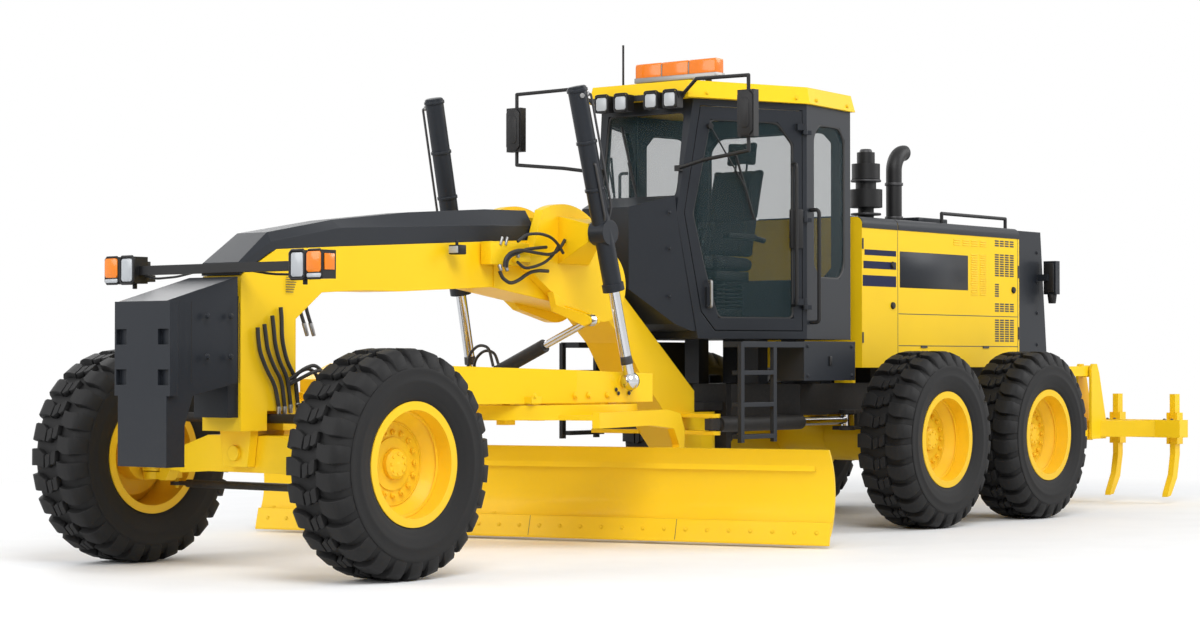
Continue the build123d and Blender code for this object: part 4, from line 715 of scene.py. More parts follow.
# outlines as run along the wall and height; runs of the door's front edge count back from the slope
doorPlan = {"low": 1.525, "high": 2.910, "front": ((1.525, 0.190), (1.855, 0.150), (2.25, 0.130), (2.910, 0.160)),
            "latch": ((0.050, 2.02), (0.150, 2.02), (0.150, 2.30), (0.050, 2.30)), "latchDepth": 0.035,
            "rail": ((0.125, 1.62), (0.125, 2.62), 0.004, 0.065), "wiperTop": 2.86, "quarterEnd": 0.6112}
for sideName in sides:
    title, body = sideName.title(), "door_" + sideName

    def at(run, z, lift=0.0, end="front"):
        return wallPoint(sideName, run, z, lift, end)

    hole = [(0.110, doorPlan["low"])] + [(slopeRun(z) - back, z) for z, back in doorPlan["front"]]
    hole += [(0.240, doorPlan["high"]), (0.110, doorPlan["high"] - 0.150)]
    inward = Vector(at(0.5, 2)) - Vector(at(0.5, 2, 1))
    addPane("door" + title, [at(s, z, -0.014) for s, z in hole], inward, body)
    inward = Vector(at(0.3, 2, 0, "rear")) - Vector(at(0.3, 2, 1, "rear"))
    quarter = cutCorners(0.110, doorPlan["quarterEnd"], 1.820, 2.920, 0.09)
    addPane("quarter" + title, [at(s, z, -0.012, "rear") for s, z in quarter], inward, "rear")
    # latch, rail, pull bar and wiper of the door
    depth = Vector(at(0, 0, doorPlan["latchDepth"])) - Vector(at(0, 0))
    addPiece("doorLatch" + title, [prism([at(s, z, 0.002) for s, z in doorPlan["latch"]], depth)], "plastic", body,
             0.008)
    foot, head, near, far = doorPlan["rail"]
    bar = [at(*foot, near), at(*foot, far), at(*head, far), at(*head, near)]
    addPiece("doorRail" + title, [tubeAlong(smoothPath(bar, 0.05), 0.012, 12)], "plastic", body)
    grip = slopeRun(1.65) - 0.130
    pull = [at(grip, z, lift) for z, lift in ((1.60, 0.02), (1.60, 0.055), (1.78, 0.055), (1.78, 0.02))]
    addPiece("doorPull" + title, [tubeAlong(smoothPath(pull, 0.025), 0.011, 10)], "steel", body)
    pivot, top = slopeRun(2.6) - 0.20, doorPlan["wiperTop"]
    addPiece("doorWiper" + title, [
        tubeAlong([at(pivot, top, 0.018), at(0.52, 2.45, 0.018)], 0.006, 8),
        roundBar(at(0.60, 2.70, 0.012), at(0.44, 2.22, 0.012), 0.009, steps=8),
        roundBar(at(pivot, top, -0.005), at(pivot, top, 0.03), 0.02)], "plastic", body)
    # grab rail on the cab's corner post behind the door
    rail = [at(0.055, z, lift, "rear") for z, lift in ((1.50, 0.002), (1.50, 0.07), (2.30, 0.07), (2.30, 0.002))]
    addPiece("cornerRail" + title, [tubeAlong(smoothPath(rail, 0.06), 0.014, 12)], "plastic", "rear")

windscreen = [(-0.285, 2.290), (0.285, 2.290), (0.335, 2.400), (0.335, 2.960), (-0.335, 2.960), (-0.335, 2.400)]
addPane("windscreen", [(screenX(z, -0.018), y, z) for y, z in windscreen], (-1, 0, -0.156), "rear")
rearWindow = cutCorners(-0.560, 0.560, 1.820, 2.920, 0.09)
addPane("rearWindow", [(cabPlan["rear"][0] + 0.012, y, z) for y, z in rearWindow], (1, 0, 0), "rear")
addPiece("screenWiper", [
    roundBar((screenX(2.275, 0.004), 0.05, 2.275), (screenX(2.275, 0.035), 0.05, 2.275), 0.022),
    tubeAlong([(screenX(2.275, 0.028), 0.05, 2.275), (screenX(2.62, 0.022), -0.10, 2.62)], 0.007, 8),
    roundBar((screenX(2.42, 0.010), -0.02, 2.42), (screenX(2.88, 0.010), -0.20, 2.88), 0.009, steps=8)],
    "plastic", "rear")
print("cab glazed")


# seat with cloth cushions, levers
seatPlan = {"voxel": 0.006, "quickVoxel": 0.015, "pressure": 4.0, "frames": 20, "quality": 4, "cap": 0.012,
            "quickSwell": 0.006, "seam": 0.008, "seamWidth": 0.009}


def cushionMesh(name, corners, thickness, bevel):
    work = bmesh.new()
    verts, faces = prism([Vector(c) for c in corners], thickness)
    points = [work.verts.new(v) for v in verts]
    for face in faces:
        work.faces.new([points[i] for i in face])
    bmesh.ops.recalc_face_normals(work, faces=work.faces)
    bmesh.ops.bevel(work, geom=work.edges[:], offset=bevel, segments=3, profile=0.5, affect="EDGES")
    mesh = bpy.data.meshes.new(name)
    work.to_mesh(mesh)
    work.free()
    return mesh


def swellByCloth(piece, mesh):
    scene = bpy.context.scene
    rest = [v.co.copy() for v in mesh.vertices]
    cloth = piece.modifiers.new("pad", "CLOTH")
    cloth.settings.use_pressure = True
    cloth.settings.uniform_pressure_force = seatPlan["pressure"]
    cloth.settings.effector_weights.gravity = 0
    cloth.settings.quality = seatPlan["quality"]
    cloth.point_cache.frame_end = seatPlan["frames"]
    for number in range(1, seatPlan["frames"] + 1):
        scene.frame_set(number)
    ready = piece.evaluated_get(bpy.context.evaluated_depsgraph_get())
    moved = [v.co.copy() for v in ready.data.vertices]
    piece.modifiers.remove(cloth)
    scene.frame_set(1)
    for vertex, a, b in zip(mesh.vertices, rest, moved):
        step = b - a
        vertex.co = a + (step if step.length < seatPlan["cap"] else step.normalized() * seatPlan["cap"])


def addCushion(name, corners, thickness, bevel, seams, replaced=()):
    piece = linkObject(name, cushionMesh(name, corners, thickness, bevel))
    bpy.context.view_layer.objects.active = piece
    voxel = piece.modifiers.new("voxel", "REMESH")
    voxel.mode = "VOXEL"
    voxel.voxel_size = seatPlan["voxel"]
    bpy.context.view_layer.update()
    mesh = bpy.data.meshes.new_from_object(piece.evaluated_get(bpy.context.evaluated_depsgraph_get()))
    piece.modifiers.remove(voxel)
    piece.data = mesh
    swellByCloth(piece, mesh)
    normals = [v.normal.copy() for v in mesh.vertices]
    for vertex, normal in zip(mesh.vertices, normals):
        pull = 0.0
        for point, across in seams:
            gap = abs((vertex.co - Vector(point)).dot(Vector(across).normalized()))
            pull += seatPlan["seam"] * math.exp(-(gap / seatPlan["seamWidth"]) ** 2)
        vertex.co = vertex.co - normal * pull
    mesh.materials.clear()
    mesh.materials.append(finish["cloth"])
    mesh.polygons.foreach_set("use_smooth", [True] * len(mesh.polygons))
    smooth = piece.modifiers.new("smooth", "SUBSURF")
    smooth.levels = smooth.render_levels = 1
    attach(piece, "rear")
    if replaced:
        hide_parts(*replaced)


addCushion("seatCushion", [(-0.455, -0.235, 1.885), (0.000, -0.235, 1.900), (0.000, -0.235, 1.975),
                           (-0.455, -0.235, 1.960)], (0, 0.47, 0), 0.028,
           [((-0.2, -0.150, 1.9), (0, 1, 0)), ((-0.2, 0.150, 1.9), (0, 1, 0)), ((-0.12, 0, 1.9), (1, 0, 0))],
           ("cab_seat",))
addCushion("seatBack", [(-0.375, -0.225, 1.980), (-0.462, -0.225, 1.980), (-0.622, -0.225, 2.625),
                        (-0.565, -0.225, 2.640)], (0, 0.45, 0), 0.026,
           [((-0.4, -0.140, 2.2), (0, 1, 0)), ((-0.4, 0.140, 2.2), (0, 1, 0)), ((-0.5, 0, 2.26), (0.2, 0, 1))])
addCushion("headRest", [(-0.588, -0.125, 2.670), (-0.642, -0.125, 2.665), (-0.668, -0.125, 2.835),
                        (-0.612, -0.125, 2.840)], (0, 0.25, 0), 0.02, [])
framePlan = {"base": ((-0.39, -0.07, -0.17, 0.17, 1.4405, 1.60), (-0.43, -0.03, -0.2, 0.2, 1.80, 1.872)),
             "bellows": [(-0.40, -0.08, -0.165, 0.165, 1.61 + k * 0.030, 1.627 + k * 0.030) for k in range(6)],
             "armRest": ((-0.36, -0.02, 0.26, 0.32, 2.10, 2.14),),
             "rods": (((-0.52, 0.27, 2.10), (-0.36, 0.27, 2.12), 0.02),
                      ((-0.605, 0.05, 2.60), (-0.625, 0.05, 2.70), 0.008))}
seatSolids = boxesAt(framePlan["base"]) + [tubeAlong([(-0.22, 0, 1.5), (-0.22, 0, 1.82)], 0.11, 24)]
seatSolids += boxesAt(framePlan["bellows"])
for side in (1, -1):
    seatSolids += boxesAt(framePlan["armRest"], side) + barsAt(framePlan["rods"], side)
addPiece("seatFrame", seatSolids, "plastic", "rear", 0.004)
leverPlan = {"rows": (0.21, 0.245, 0.28, 0.315), "box": ((0.21, 0.31, 0.155, 0.34, 1.88, 1.965),),
             "post": (((0.26, 0.24, 1.4405), (0.26, 0.24, 1.90), 0.035),)}
levers = []
for side in (1, -1):
    for y in leverPlan["rows"]:
        levers += barsAt((((0.245, y, 1.95), (0.185, y, 2.16), 0.006, None, 8),
                          ((0.187, y, 2.150), (0.172, y, 2.205), 0.015, 0.012, 12)), side)
    levers += boxesAt(leverPlan["box"], side) + barsAt(leverPlan["post"], side)
addPiece("controlLevers", levers, "plastic", "rear", 0.003)
print("seat and levers made")


# roof lamps, beacon, mirrors, trim of the cab
lampPlan = {"spots": (-0.261, -0.091, 0.174, 0.339), "front": 0.710, "height": 3.032, "half": 0.055, "lens": 0.046}
lampRims, lampLenses, lampGuards = [], [], []
for y in lampPlan["spots"]:
    front, z, half, lens = (lampPlan[key] for key in ("front", "height", "half", "lens"))
    inner = cutCorners(y - lens, y + lens, z - lens, z + lens, 0.012)
    lampLenses.append(prism([(front + 0.001, a, b) for a, b in inner], (0.007, 0, 0)))
    ring = cutCorners(y - half, y + half, z - half, z + half, 0.014)
    lampRims.append(tubeAlong([(front + 0.004, a, b) for a, b in ring], 0.007, 8, True))
    out, high = half + 0.008, z + half + 0.012
    arch = [(front - 0.02, y - out, z + 0.01), (front + 0.002, y - out, high), (front + 0.002, y + out, high),
            (front - 0.02, y + out, z + 0.01)]
    lampGuards.append(tubeAlong(smoothPath(arch, 0.03), 0.005, 8))
addPiece("workLampLens", lampLenses, "lens", "rear", 0.002)
addPiece("workLampRims", lampRims + lampGuards, "plastic", "rear")

beaconPlan = {"x": 0.150, "half": 0.052, "split": 3.262, "wall": 0.03, "top": 3.3685, "square": 0.25,
              "domes": ((-0.356, -0.125), (-0.115, 0.115), (0.125, 0.356)), "cores": (-0.23, 0.0, 0.23)}
middle, half, split, wall = (beaconPlan[key] for key in ("x", "half", "split", "wall"))
shell = []
for k in range(17):
    turn = math.pi * k / 16
    flat = math.copysign(abs(math.cos(turn)) ** beaconPlan["square"], math.cos(turn))
    rise = (beaconPlan["top"] - split - wall) * max(math.sin(turn), 0) ** beaconPlan["square"]
    shell.append((middle + half * flat, split + wall + rise))
x0, x1 = middle - half, middle + half
shell += [(x0, split), (x1, split)]
addPiece("beaconDomes", [prism([(x, y0, z) for x, z in shell], (0, y1 - y0, 0)) for y0, y1 in beaconPlan["domes"]],
         "amber", "rear", 0.006)
beaconBase = boxesAt(((x0 - 0.006, x1 + 0.006, -0.362, 0.362, 3.229, 3.266), (x0, x1, -0.124, -0.116, 3.25, 3.352),
                      (x0, x1, 0.116, 0.124, 3.25, 3.352)))
beaconFeet = barsAt([((x, y, 3.168), (x, y, 3.235), 0.012) for x in (0.12, 0.18) for y in (-0.25, 0.25)])
addPiece("beaconBase", beaconBase + beaconFeet, "steel", "rear", 0.004)
addPiece("beaconCores", [tubeAlong([(middle, y, 3.268), (middle, y, 3.345)], 0.040, 20) for y in beaconPlan["cores"]],
         "chrome", "rear", 0.004)



def platePrism(x, depth, side, y0, y1, z0, z1, corner):
    return prism([(x, y, z) for y, z in cutCorners(side * y0, side * y1, z0, z1, corner)], (depth, 0, 0))


mirrorPlan = {"face": (0.966, 1.081, 2.745, 3.038, 0.02), "shell": (0.962, 1.085, 2.740, 3.043, 0.03),
              "boss": (0.985, 1.062, 2.790, 2.993, 0.02),
              "knuckle": (((0.742, 1.023, 2.86), (0.742, 1.023, 2.93), 0.024),)}
for sideName, side in sides.items():
    addPiece("mirrorFace" + sideName.title(), [platePrism(0.7145, -0.003, side, *mirrorPlan["face"])], "mirror", "rear")
    shells = [platePrism(0.775, 0.012, side, *mirrorPlan["shell"]), platePrism(0.786, 0.006, side, *mirrorPlan["boss"])]
    addPiece("mirrorShell" + sideName.title(), shells + barsAt(mirrorPlan["knuckle"], side), "plastic", "rear", 0.005)

items["bolt"] = itemObject("boltHead", [roundBar((0, 0, 0), (0, 0, 0.010), 0.0115, steps=6),
                                        roundBar((0, 0, -0.002), (0, 0, 0.003), 0.017, steps=14)], 0.0012)


def addBolts(name, spots, paint, body, size):
    placeItems(name, items["bolt"], mirrored(spots), paint, body, size)


# runs of roof bolts: ends of the roof's edge, shares along it, outward direction
roofRows = (((0.60, 0.452), (-0.314, 0.815), (0.12, 0.5, 0.88), 0.35),
            ((-0.314, 0.813), (-1.02, 0.725), (0.15, 0.85), -0.12))
addBolts("roofBolts", [(ax + (bx - ax) * share, ay + (by - ay) * share + 0.001, 3.085, lean, 1, 0)
                       for (ax, ay), (bx, by), shares, lean in roofRows for share in shares], "yellow", "rear", 0.8)
addPiece("roofRibs", [prism([(-0.92, y - 0.05, 3.1695), (0.02, y - 0.05, 3.1695), (0.02, y + 0.05, 3.1695),
                             (-0.92, y + 0.05, 3.1695)], (0, 0, 0.012)) for y in (-0.36, -0.12, 0.12, 0.36)],
         "yellow", "rear", 0.010)
addPiece("aerialBase", [roundBar((0.300, -0.39, 3.168), (0.300, -0.39, 3.20), 0.026, 0.012)], "plastic", "rear", 0.003)
addBolts("cabBolts", [(0.72, 0.3445, z, 0.35, 1, 0) for z in (1.67, 2.00, 2.25)], "charcoal", "rear", 0.7)
print("roof and mirrors made")


# hood panels
hoodPlan = {"face": 0.620, "front": -1.292, "rear": -3.648, "capLow": 2.218, "cellPitch": 0.0802, "rowPitch": 0.0185,
            "cellFront": -3.247, "grids": ((2.199, 4, 3), (2.088, 4, 10), (1.849, 1, 6), (1.692, 4, 4), (1.562, 4, 10)),
            "slits": (((-2.660, -2.800, -2.929, -3.066), 3, 2.176), ((-2.929, -3.066), 18, 2.066)),
            "arcHeight": 2.2455, "capOuter": (0.5655, 0.0585), "capInner": (0.566, 0.0545)}


def capArc(middle, radius, turns):
    angles = [math.radians(turn) for turn in turns]
    return [(middle + radius * math.cos(a), hoodPlan["arcHeight"] + radius * math.sin(a)) for a in angles]


capRing = [(0.624, hoodPlan["capLow"])] + capArc(*hoodPlan["capOuter"], range(0, 91, 15))
capRing += capArc(*hoodPlan["capInner"], range(90, -1, -15)) + [(0.6205, hoodPlan["capLow"])]
for label, x0, x1 in (("Front", hoodPlan["front"], -1.786), ("Rear", -1.794, hoodPlan["rear"])):
    rims = [prism([(x0, side * y, z) for y, z in capRing], (x1 - x0, 0, 0)) for side in (1, -1)]
    addPiece("hoodCap" + label, rims + [boxSolid((x0, x1), (-0.566, 0.566), (2.2995, 2.304))], "charcoal", "rear")
roofBoxes = ((-2.86, -2.42, 0.06, 0.42, 2.303, 2.352), (-3.45, -3.00, -0.35, 0.35, 2.303, 2.322),
             (-1.72, -1.40, -0.40, 0.40, 2.303, 2.320))
addPiece("hoodRoofBox", boxesAt(roofBoxes), "charcoal", "rear", 0.012)

items["cell"] = itemObject("grilleCell", [boxSolid((-0.031, 0.031), (-0.0058, 0.0058), (-0.002, 0.0012))])
items["slit"] = itemObject("pressedSlit", [prism([
    (-0.052, -0.0075, -0.001), (0.052, -0.0075, -0.001), (0.046, -0.0065, 0.0045), (-0.046, -0.0065, 0.0045)],
    (0, 0.011, 0))], 0.0012)
face, pitch = hoodPlan["face"], hoodPlan["rowPitch"]
cells = [(hoodPlan["cellFront"] - hoodPlan["cellPitch"] * (column + 0.5), face + 0.0004, z1 - pitch * (row + 0.5),
          0, 1, 0) for z1, columns, rows in hoodPlan["grids"] for column in range(columns) for row in range(rows)]
slits = [(x, face, z1 - pitch * row, 0, 1, 0) for places, rows, z1 in hoodPlan["slits"] for x in places
         for row in range(rows)]
placeItems("hoodGrilles", items["cell"], mirrored(cells), "darkSteel", "rear")
placeItems("hoodSlits", items["slit"], mirrored(slits), "yellow", "rear")
groove, skin = face + 0.0008, (face - 0.001, face + 0.0012)
grooves = [(x - 0.003, x + 0.003, face, groove, 1.180, 2.218) for x in (-1.790, -3.624)]
grooves += [(-1.80, -3.620, face, groove, z - 0.003, z + 0.003) for z in (1.583, 1.341)]
grooves += [(x - 0.045, x + 0.045, face, 0.627, 1.326, 1.345) for x in (-2.164, -3.106)]
addPiece("hoodGrooves", boxesAt(grooves, 1) + boxesAt(grooves, -1), "darkSteel", "rear")
stripes = ((-1.325, -1.766, *skin, 2.016, 2.058), (-1.310, -1.766, *skin, 1.916, 1.972),
           (-1.300, -1.766, *skin, 1.784, 1.866))
plates = ((-2.833, -1.819, *skin, 1.783, 2.058),)
knobs = ((-1.716, 1.644), (-1.716, 1.95), (-3.55, 1.80))
knob = [(0.0, 0.016), (0.022, 0.015), (0.026, 0.010), (0.027, 0.0)]
hinges = ((-3.640, 1.45, 0.05, 0.010), (-3.640, 1.95, 0.05, 0.010), (-1.300, 1.40, 0.04, 0.009),
          (-1.300, 2.10, 0.04, 0.009))
for sideName, side in sides.items():
    label = sideName.title()
    addPiece("hoodStripes" + label, boxesAt(stripes, side), "blueStripe", "rear")
    addPiece("hoodPlate" + label, boxesAt(plates, side), "charcoal", "rear", 0.0004)
    addPiece("hoodKnobs" + label, [spunRings(knob, (x, side * face, z), (0, side, 0), 20) for x, z in knobs],
             "plastic", "rear")
    addPiece("hoodHinges" + label, barsAt([((x, 0.6195, z - half), (x, 0.6195, z + half), radius)
                                           for x, z, half, radius in hinges], side), "darkSteel", "rear")
print("hood panels made")


# lamps of the nose: clear lens, amber side lens, bezel
nosePlan = {"front": 4.666, "z0": 1.686, "z1": 1.846, "inner": (0.655, 0.773), "outer": (0.790, 0.907),
            "lens": (0.667, 0.761, 1.698, 1.834, 0.010), "sideLens": (0.794, 0.905, 1.722, 1.838, 0.012),
            "strip": (0.794, 0.905, 1.692, 1.716, 0.006), "sideBox": ((4.575, 4.655, 0.907, 0.915, 1.735, 1.826),),
            "case": ((4.515, 4.562, 0.68, 0.75, 1.71, 1.82),),
            "stalk": (((4.608, 0.715, 1.655), (4.608, 0.715, 1.69), 0.014),)}
clear, bezels, amber = [], [], []


def bezelTube(side, span, radius):
    ring = cutCorners(side * span[0], side * span[1], nosePlan["z0"], nosePlan["z1"], 0.014)
    return tubeAlong([(nosePlan["front"] + 0.003, a, b) for a, b in ring], radius, 8, True)


for side in (1, -1):
    front = nosePlan["front"]
    clear += [platePrism(front, 0.009, side, *nosePlan["lens"]), platePrism(front, 0.012, side, *nosePlan["strip"])]
    amber += [platePrism(front, 0.014, side, *nosePlan["sideLens"])] + boxesAt(nosePlan["sideBox"], side)
    bezels += [bezelTube(side, nosePlan["inner"], 0.009), bezelTube(side, nosePlan["outer"], 0.007)]
    bezels += boxesAt(nosePlan["case"], side) + barsAt(nosePlan["stalk"], side)
addPiece("headlampLens", clear, "lens", "front", 0.003)
addPiece("headlampAmber", amber, "amber", "front", 0.003)
addPiece("headlampBezels", bezels, "plastic", "front", 0.003)
wire = ((4.575, 0.66, 1.735), (4.545, 0.60, 1.715), (4.560, 0.40, 1.722), (4.570, 0.235, 1.745))


def runHoses(routes, radius, turn, perTurn=4, steps=10):
    return [tubeAlong(smoothPath(route, turn, perTurn), radius, steps) for route in routes]


addPiece("headlampWires", runHoses([[(x, side * y, z) for x, y, z in wire] for side in (1, -1)], 0.007, 0.05, 6, 8),
         "hose", "front")

# push plate: bolts and seams
addBolts("plateBolts", [(x, 0.2322, z, 0, 1, 0) for z in (1.25, 1.48) for x in (4.72, 4.90)], "charcoal", "front", 1.1)
plateSeams = [(x - 0.002, x + 0.002, 0.2315, 0.2328, 1.10, 1.56) for x in (4.655, 5.02)]
addPiece("plateSeams", boxesAt(plateSeams, 1) + boxesAt(plateSeams, -1), "plastic", "front")
addPiece("coverBolts", barsAt([((3.42, y, 1.99), (3.42, y, 2.035), 0.010) for y in (0.07, -0.07)]), "charcoal",
         "front", 0.003)

# hoses beside the saddle: radius, distance from the middle, route
saddleRoutes = (
    (0.011, 0.300, [(2.391, 1.826), (2.395, 1.871), (2.357, 1.901), (2.294, 1.921), (2.211, 1.945), (2.098, 1.958),
                    (1.995, 1.967)]),
    (0.011, 0.322, [(2.440, 1.825), (2.440, 1.875), (2.400, 1.915), (2.300, 1.940), (2.150, 1.925), (2.000, 1.915),
                    (1.905, 1.945), (1.830, 2.020)]),
    (0.012, 0.285, [(2.443, 1.800), (2.423, 1.755), (2.354, 1.720), (2.271, 1.744), (2.173, 1.795), (2.074, 1.813),
                    (1.960, 1.812)]),
    (0.010, 0.340, [(2.330, 1.990), (2.250, 2.040), (2.120, 2.050), (2.010, 2.030), (1.930, 1.985), (1.870, 1.930)]),
    (0.010, 0.312, [(2.300, 1.862), (2.240, 1.820), (2.140, 1.835), (2.040, 1.865), (1.950, 1.915), (1.880, 1.985)]))
# small lamp on the neck, valve block and fittings beside the saddle
neckPlan = {
    "case": ((2.76, 2.83, 0.195, 0.285, 1.895, 1.955),), "lens": ((2.829, 2.836, 0.203, 0.277, 1.903, 1.947),),
    "stalk": (((2.795, 0.235, 1.95), (2.795, 0.235, 1.985), 0.010),),
    "valve": ((2.120, 2.500, 0.172, 0.262, 1.842, 1.990), (2.150, 2.300, 0.262, 0.300, 1.862, 1.930)),
    "fittings": (((2.36, 0.262, 1.968), (2.34, 0.262, 2.020), 0.010),
                 ((2.41, 0.262, 1.968), (2.39, 0.262, 2.020), 0.010),
                 ((2.385, 0.285, 1.838), (2.385, 0.300, 1.800), 0.015, 0.011, 12),
                 ((2.445, 0.285, 1.838), (2.445, 0.300, 1.800), 0.015, 0.011, 12),
                 ((2.29, 0.30, 1.90), (2.29, 0.318, 1.90), 0.014, None, 6))}
for sideName, side in sides.items():
    label = sideName.title()
    addPiece("neckLamp" + label, boxesAt(neckPlan["case"], side) + barsAt(neckPlan["stalk"], side), "plastic", "front",
             0.006)
    addPiece("neckLampLens" + label, boxesAt(neckPlan["lens"], side), "lens", "front", 0.002)
    addPiece("saddleValve" + label, boxesAt(neckPlan["valve"], side), "yellow", "front", 0.006)
    addPiece("saddleFittings" + label, barsAt(neckPlan["fittings"], side), "steel", "front", 0.002)
    hoses = []
    for radius, y, route in saddleRoutes:
        bow = [0.015 * math.sin(math.pi * k / (len(route) - 1)) for k in range(len(route))]
        hoses += runHoses([[(x, side * (y + out), z) for (x, z), out in zip(route, bow)]], radius, 0.06)
    addPiece("saddleHoses" + label, hoses, "hose", "front")

# nose: hoses that run down to the axle, their ends, louvres
axleRoutes = (
    (0.190, [(4.470, 1.420), (4.465, 1.354), (4.452, 1.280), (4.401, 1.179), (4.330, 1.085), (4.300, 0.960)]),
    (0.188, [(4.415, 1.440), (4.405, 1.382), (4.389, 1.290), (4.340, 1.197), (4.275, 1.112), (4.250, 0.960)]),
    (0.186, [(4.350, 1.490), (4.341, 1.439), (4.328, 1.327), (4.292, 1.225), (4.227, 1.130), (4.200, 0.970)]),
    (0.184, [(4.280, 1.540), (4.272, 1.477), (4.270, 1.356), (4.230, 1.225), (4.160, 1.130), (4.140, 0.980)]))
upperRoute = ((4.104, 0.14, 1.640), (4.090, 0.145, 1.540), (4.057, 0.15, 1.452))
loopRoute = ((4.14, 0.0, 1.165), (4.08, 0.02, 1.185), (4.02, 0.03, 1.140), (4.02, 0.03, 1.050), (4.08, 0.02, 0.985),
             (4.17, 0.01, 0.960))
noseHoses, noseEnds = [], []
for y, route in axleRoutes:
    for side in (1, -1):
        points = [(x, side * y, z) for x, z in route]
        x, z = route[-1]
        noseHoses += runHoses([points], 0.0125, 0.08)
        noseEnds.append(roundBar(points[-1], (x, side * y, z - 0.05), 0.016, 0.012, 12))
for side in (1, -1):
    for dx in (0, -0.055):
        noseHoses += runHoses([[(x + dx, side * y, z) for x, y, z in upperRoute]], 0.011, 0.06)
        noseEnds.append(roundBar((4.057 + dx, side * 0.15, 1.452), (4.030 + dx, side * 0.152, 1.375), 0.014, 0.012, 12))
    for start, lift in ((0.20, 0.0), (0.245, 0.02), (0.29, -0.01)):
        loop = [(4.20, side * 0.18, 1.10 + lift)] + [(x, side * (start + y), z + lift) for x, y, z in loopRoute]
        noseHoses += runHoses([loop], 0.011, 0.09, 5)
addPiece("noseHoses", noseHoses, "hose", "front")
addPiece("noseHoseEnds", noseEnds, "steel", "front", 0.002)
addPiece("noseLouvres", [boxSolid((4.128 + 0.006 * k, 4.224), (side * 0.1695, side * 0.1712),
                                  (1.7158 - 0.0145 * k, 1.7202 - 0.0145 * k)) for side in (1, -1) for k in range(7)],
         "darkSteel", "front")
print("nose and saddle dressed")


# lift cylinders: bands, pipes along the barrel, ports, rod collars
# each pipe: turn around the barrel, start, bend and end along it, height over it
liftPlan = {"top": (2.074, 0.618, 2.983), "ball": (1.600, 0.685, 1.095), "barrel": 0.062, "port": 0.055,
            "pipes": ((0.5, 0.055, 0.80, 0.86, 0.022), (-0.5, 0.50, 0.84, 0.88, 0.020))}
for sideName, side in sides.items():
    label, body, barrel = sideName.title(), "lift_barrel_" + sideName, liftPlan["barrel"]
    top, ball = (Vector((x, side * y, z)) for x, y, z in (liftPlan["top"], liftPlan["ball"]))
    run = (ball - top).normalized()
    across = run.cross(Vector((0, side, 0))).normalized()
    outward = across.cross(run).normalized()
    if outward.y * side < 0:
        outward = -outward
    ring = [(barrel - 0.004, 0.0), (barrel + 0.007, 0.0), (barrel + 0.007, 0.022), (barrel - 0.004, 0.022),
            (barrel - 0.004, 0.0)]
    bands = [spunRings(ring, top + run * d, run, 28) for d in (0.010, 0.35, 0.66)]
    bands.append(roundBar(top - run * 0.006, top + run * 0.004, barrel - 0.006, steps=28))
    addPiece("liftBands" + label, bands, "charcoal", body, 0.003)
    pipes, ports = [], []
    for turn, near, bend, far, proud in liftPlan["pipes"]:
        offset = outward * math.cos(turn) - across * math.sin(turn)
        route = [top + run * d + offset * (barrel + lift) for d, lift in (
            (near, -0.01), (near, proud), (bend, proud), (far, -0.004))]
        pipes += runHoses([route], 0.008, 0.03)
        port = top + run * liftPlan["port"]
        ports.append(roundBar(port + offset * (barrel - 0.004), port + offset * (barrel + 0.012), 0.016, steps=12))
    addPiece("liftPipes" + label, pipes, "darkSteel", body)
    addPiece("liftPorts" + label, ports, "steel", body, 0.002)
    addPiece("liftRodCollar" + label, [roundBar(ball - run * 0.155, ball - run * 0.115, 0.0385, 0.041, 24),
                                       roundBar(ball - run * 0.170, ball - run * 0.155, 0.037, 0.0385, 24)],
             "darkSteel", "lift_rod_" + sideName, 0.002)

# drawbar: side bolts and the lower bolts of the ball caps
addBolts("drawbarBolts", [(x, 0.6315, 1.005, 0, 1, 0) for x in (2.506, 2.100, 1.963, 1.769)], "yellow", "drawbar", 1.2)
capTurns = [math.radians(turn) for turn in (215, 235, 305, 325)]
addBolts("ballCapBolts", [(1.600 + 0.098 * math.cos(t), 0.632, 1.095 + 0.098 * math.sin(t), 0, 1, 0)
                          for t in capTurns], "darkSteel", "drawbar", 0.8)

# moldboard: bolts and joints of the cutting edge
bladePlan = {"place": (1.890, 0.0), "turn": math.radians(15.1), "v0": -2.3788, "v1": 1.9412, "bolts": 28,
             "margin": 0.09, "joints": (0.25, 0.5, 0.75)}


def bladeFacing(u, v, z):
    c, s = math.cos(bladePlan["turn"]), math.sin(bladePlan["turn"])
    return u * c - v * s, u * s + v * c, z


def bladeSpot(u, v, z):
    x, y, z = bladeFacing(u, v, z)
    return bladePlan["place"][0] + x, bladePlan["place"][1] + y, z


start, width, gap = bladePlan["v0"], bladePlan["v1"] - bladePlan["v0"], bladePlan["margin"]
boltRun = [start + gap + (width - 2 * gap) * k / (bladePlan["bolts"] - 1) for k in range(bladePlan["bolts"])]
placeItems("edgeBolts", items["bolt"], [(bladeSpot(-0.5895, v, 0.102), bladeFacing(0.957, 0, 0.291)) for v in boltRun],
           "yellow", "moldboard", 0.9)
seams = []
for share in bladePlan["joints"]:
    v = start + width * share
    corners = ((-0.5675, -0.002, 0.034), (-0.5675, 0.002, 0.034), (-0.6092, 0.002, 0.168), (-0.6092, -0.002, 0.168))
    seams.append(prism([bladeSpot(u, v + dv, z) for u, dv, z in corners], bladeFacing(-0.004, 0, -0.001)))
addPiece("edgeJoints", seams, "darkSteel", "moldboard")

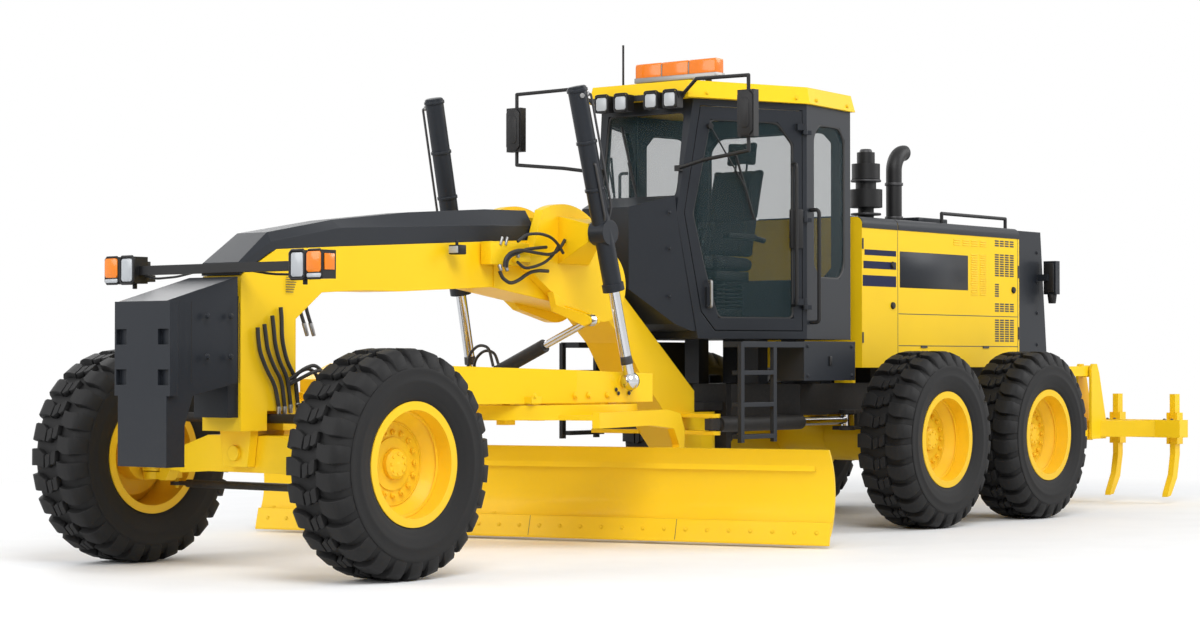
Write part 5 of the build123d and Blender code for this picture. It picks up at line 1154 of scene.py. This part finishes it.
# centre-shift cylinder: two hoses
shiftRoute = ((-0.300, 1.190, 0), (-0.340, 1.285, 1), (-0.430, 1.300, 1), (-0.515, 1.240, 1), (-0.530, 1.130, 0))
addPiece("shiftHoses", runHoses([[(x, y, z + lift * raised) for y, z, raised in shiftRoute]
                                 for x, lift in ((1.770, 0.0), (1.830, 0.035))], 0.010, 0.06, 5), "hose",
         "shift_barrel")

# ripper pins, shank bolts, rear lamps, guard bolts
pin = [(0.0, 0.012), (0.030, 0.011), (0.034, 0.006), (0.034, -0.004)]
for body, z in (("ripper_arm", 0.600), ("ripper_link", 1.137)):
    addPiece(body + "Pins", [spunRings(pin, (x, side * 0.6165, z), (0, side, 0), 24)
                             for side in (1, -1) for x in (-4.240, -4.900)], "darkSteel", body)
placeItems("shankBolts", items["bolt"], [((-5.400, y + dy, 0.7205), (0, 0, 1)) for y in (-1.08, -0.54, 0.0, 0.54, 1.08)
                                         for dy in (-0.034, 0.034)], "darkSteel", "ripper_frame", 1.0)


# rear lamps: lenses by depth, base plates and stalks
rearPlan = {"face": -4.110, "amber": ((-0.010, 1.960, 2.038),), "red": ((-0.010, 1.870, 1.950), (-0.008, 1.787, 1.860)),
            "plate": ((-4.036, -4.020, 0.640, 0.730, 1.79, 2.03),),
            "stalk": (((-4.075, 0.690, 1.700), (-4.075, 0.690, 1.776), 0.030, 0.040, 16),)}
for name, paint in (("rearLampAmber", "amber"), ("rearLampRed", "red")):
    addPiece(name, [platePrism(rearPlan["face"], depth, side, 0.642, 0.731, z0, z1, 0.010) for side in (1, -1)
                    for depth, z0, z1 in rearPlan[paint]], paint, "rear", 0.002)
lampCases = [boxesAt(rearPlan["plate"], side) + barsAt(rearPlan["stalk"], side) for side in (1, -1)]
addPiece("rearLampCases", lampCases[0] + lampCases[1], "plastic", "rear", 0.004)
addBolts("guardBolts", [(x, 0.5905, z, 0, 1, 0) for z in (1.36, 1.62, 1.88, 2.12) for x in (-3.70, -4.00)],
         "charcoal", "rear", 1.0)

# stacks: clamps, bands and rain cap
px, py, cx, cy = -2.330, 0.250, -2.080, 0.150
stackCap = [(0.0, 0.028), (0.040, 0.026), (0.048, 0.014), (0.050, 0.0)]
bands = barsAt([((px, py, z), (px, py, z + 0.022), 0.072, None, 28) for z in (2.335, 2.60)])
bands += barsAt([((cx, cy, z), (cx, cy, z + 0.016), 0.118, None, 32) for z in (2.36, 2.62)])
addPiece("stackBands", bands + [spunRings(stackCap, (cx, cy, 2.850), (0, 0, 1), 28)], "darkSteel", "rear", 0.002)

# axle: kingpin caps with grease points, lean pins
kingCap = [(0.0, 0.014), (0.030, 0.013), (0.040, 0.008), (0.042, 0.0)]
greasePoint = (((4.300, 0.880, 0.800), (4.300, 0.880, 0.820), 0.007, None, 8),)
leanPins = (((4.110, 0.705, 0.620), (4.118, 0.705, 0.620), 0.030, None, 24),
            ((4.482, 0.705, 0.620), (4.490, 0.705, 0.620), 0.030, None, 24))
for sideName, side in sides.items():
    cap = spunRings(kingCap, (4.300, side * 0.880, 0.790), (0, 0, 1), 28)
    addPiece("kingCap" + sideName.title(), [cap] + barsAt(greasePoint, side), "yellow", "lean_" + sideName)
    addPiece("leanPin" + sideName.title(), barsAt(leanPins, side), "darkSteel", "front", 0.002)

# side boxes: bolts and handles
addBolts("boxBolts", [(x, 0.8005, z, 0, 1, 0) for x in (-0.870, -0.300) for z in (1.120, 1.330)], "charcoal", "rear",
         0.9)
handle = ((-0.60, -0.57, 0.799, 0.812, 1.19, 1.26),)
addPiece("boxHandles", boxesAt(handle, 1) + boxesAt(handle, -1), "plastic", "rear", 0.004)
print("blade, ripper and rear dressed")

for item in items.values():
    bpy.data.objects.remove(item)
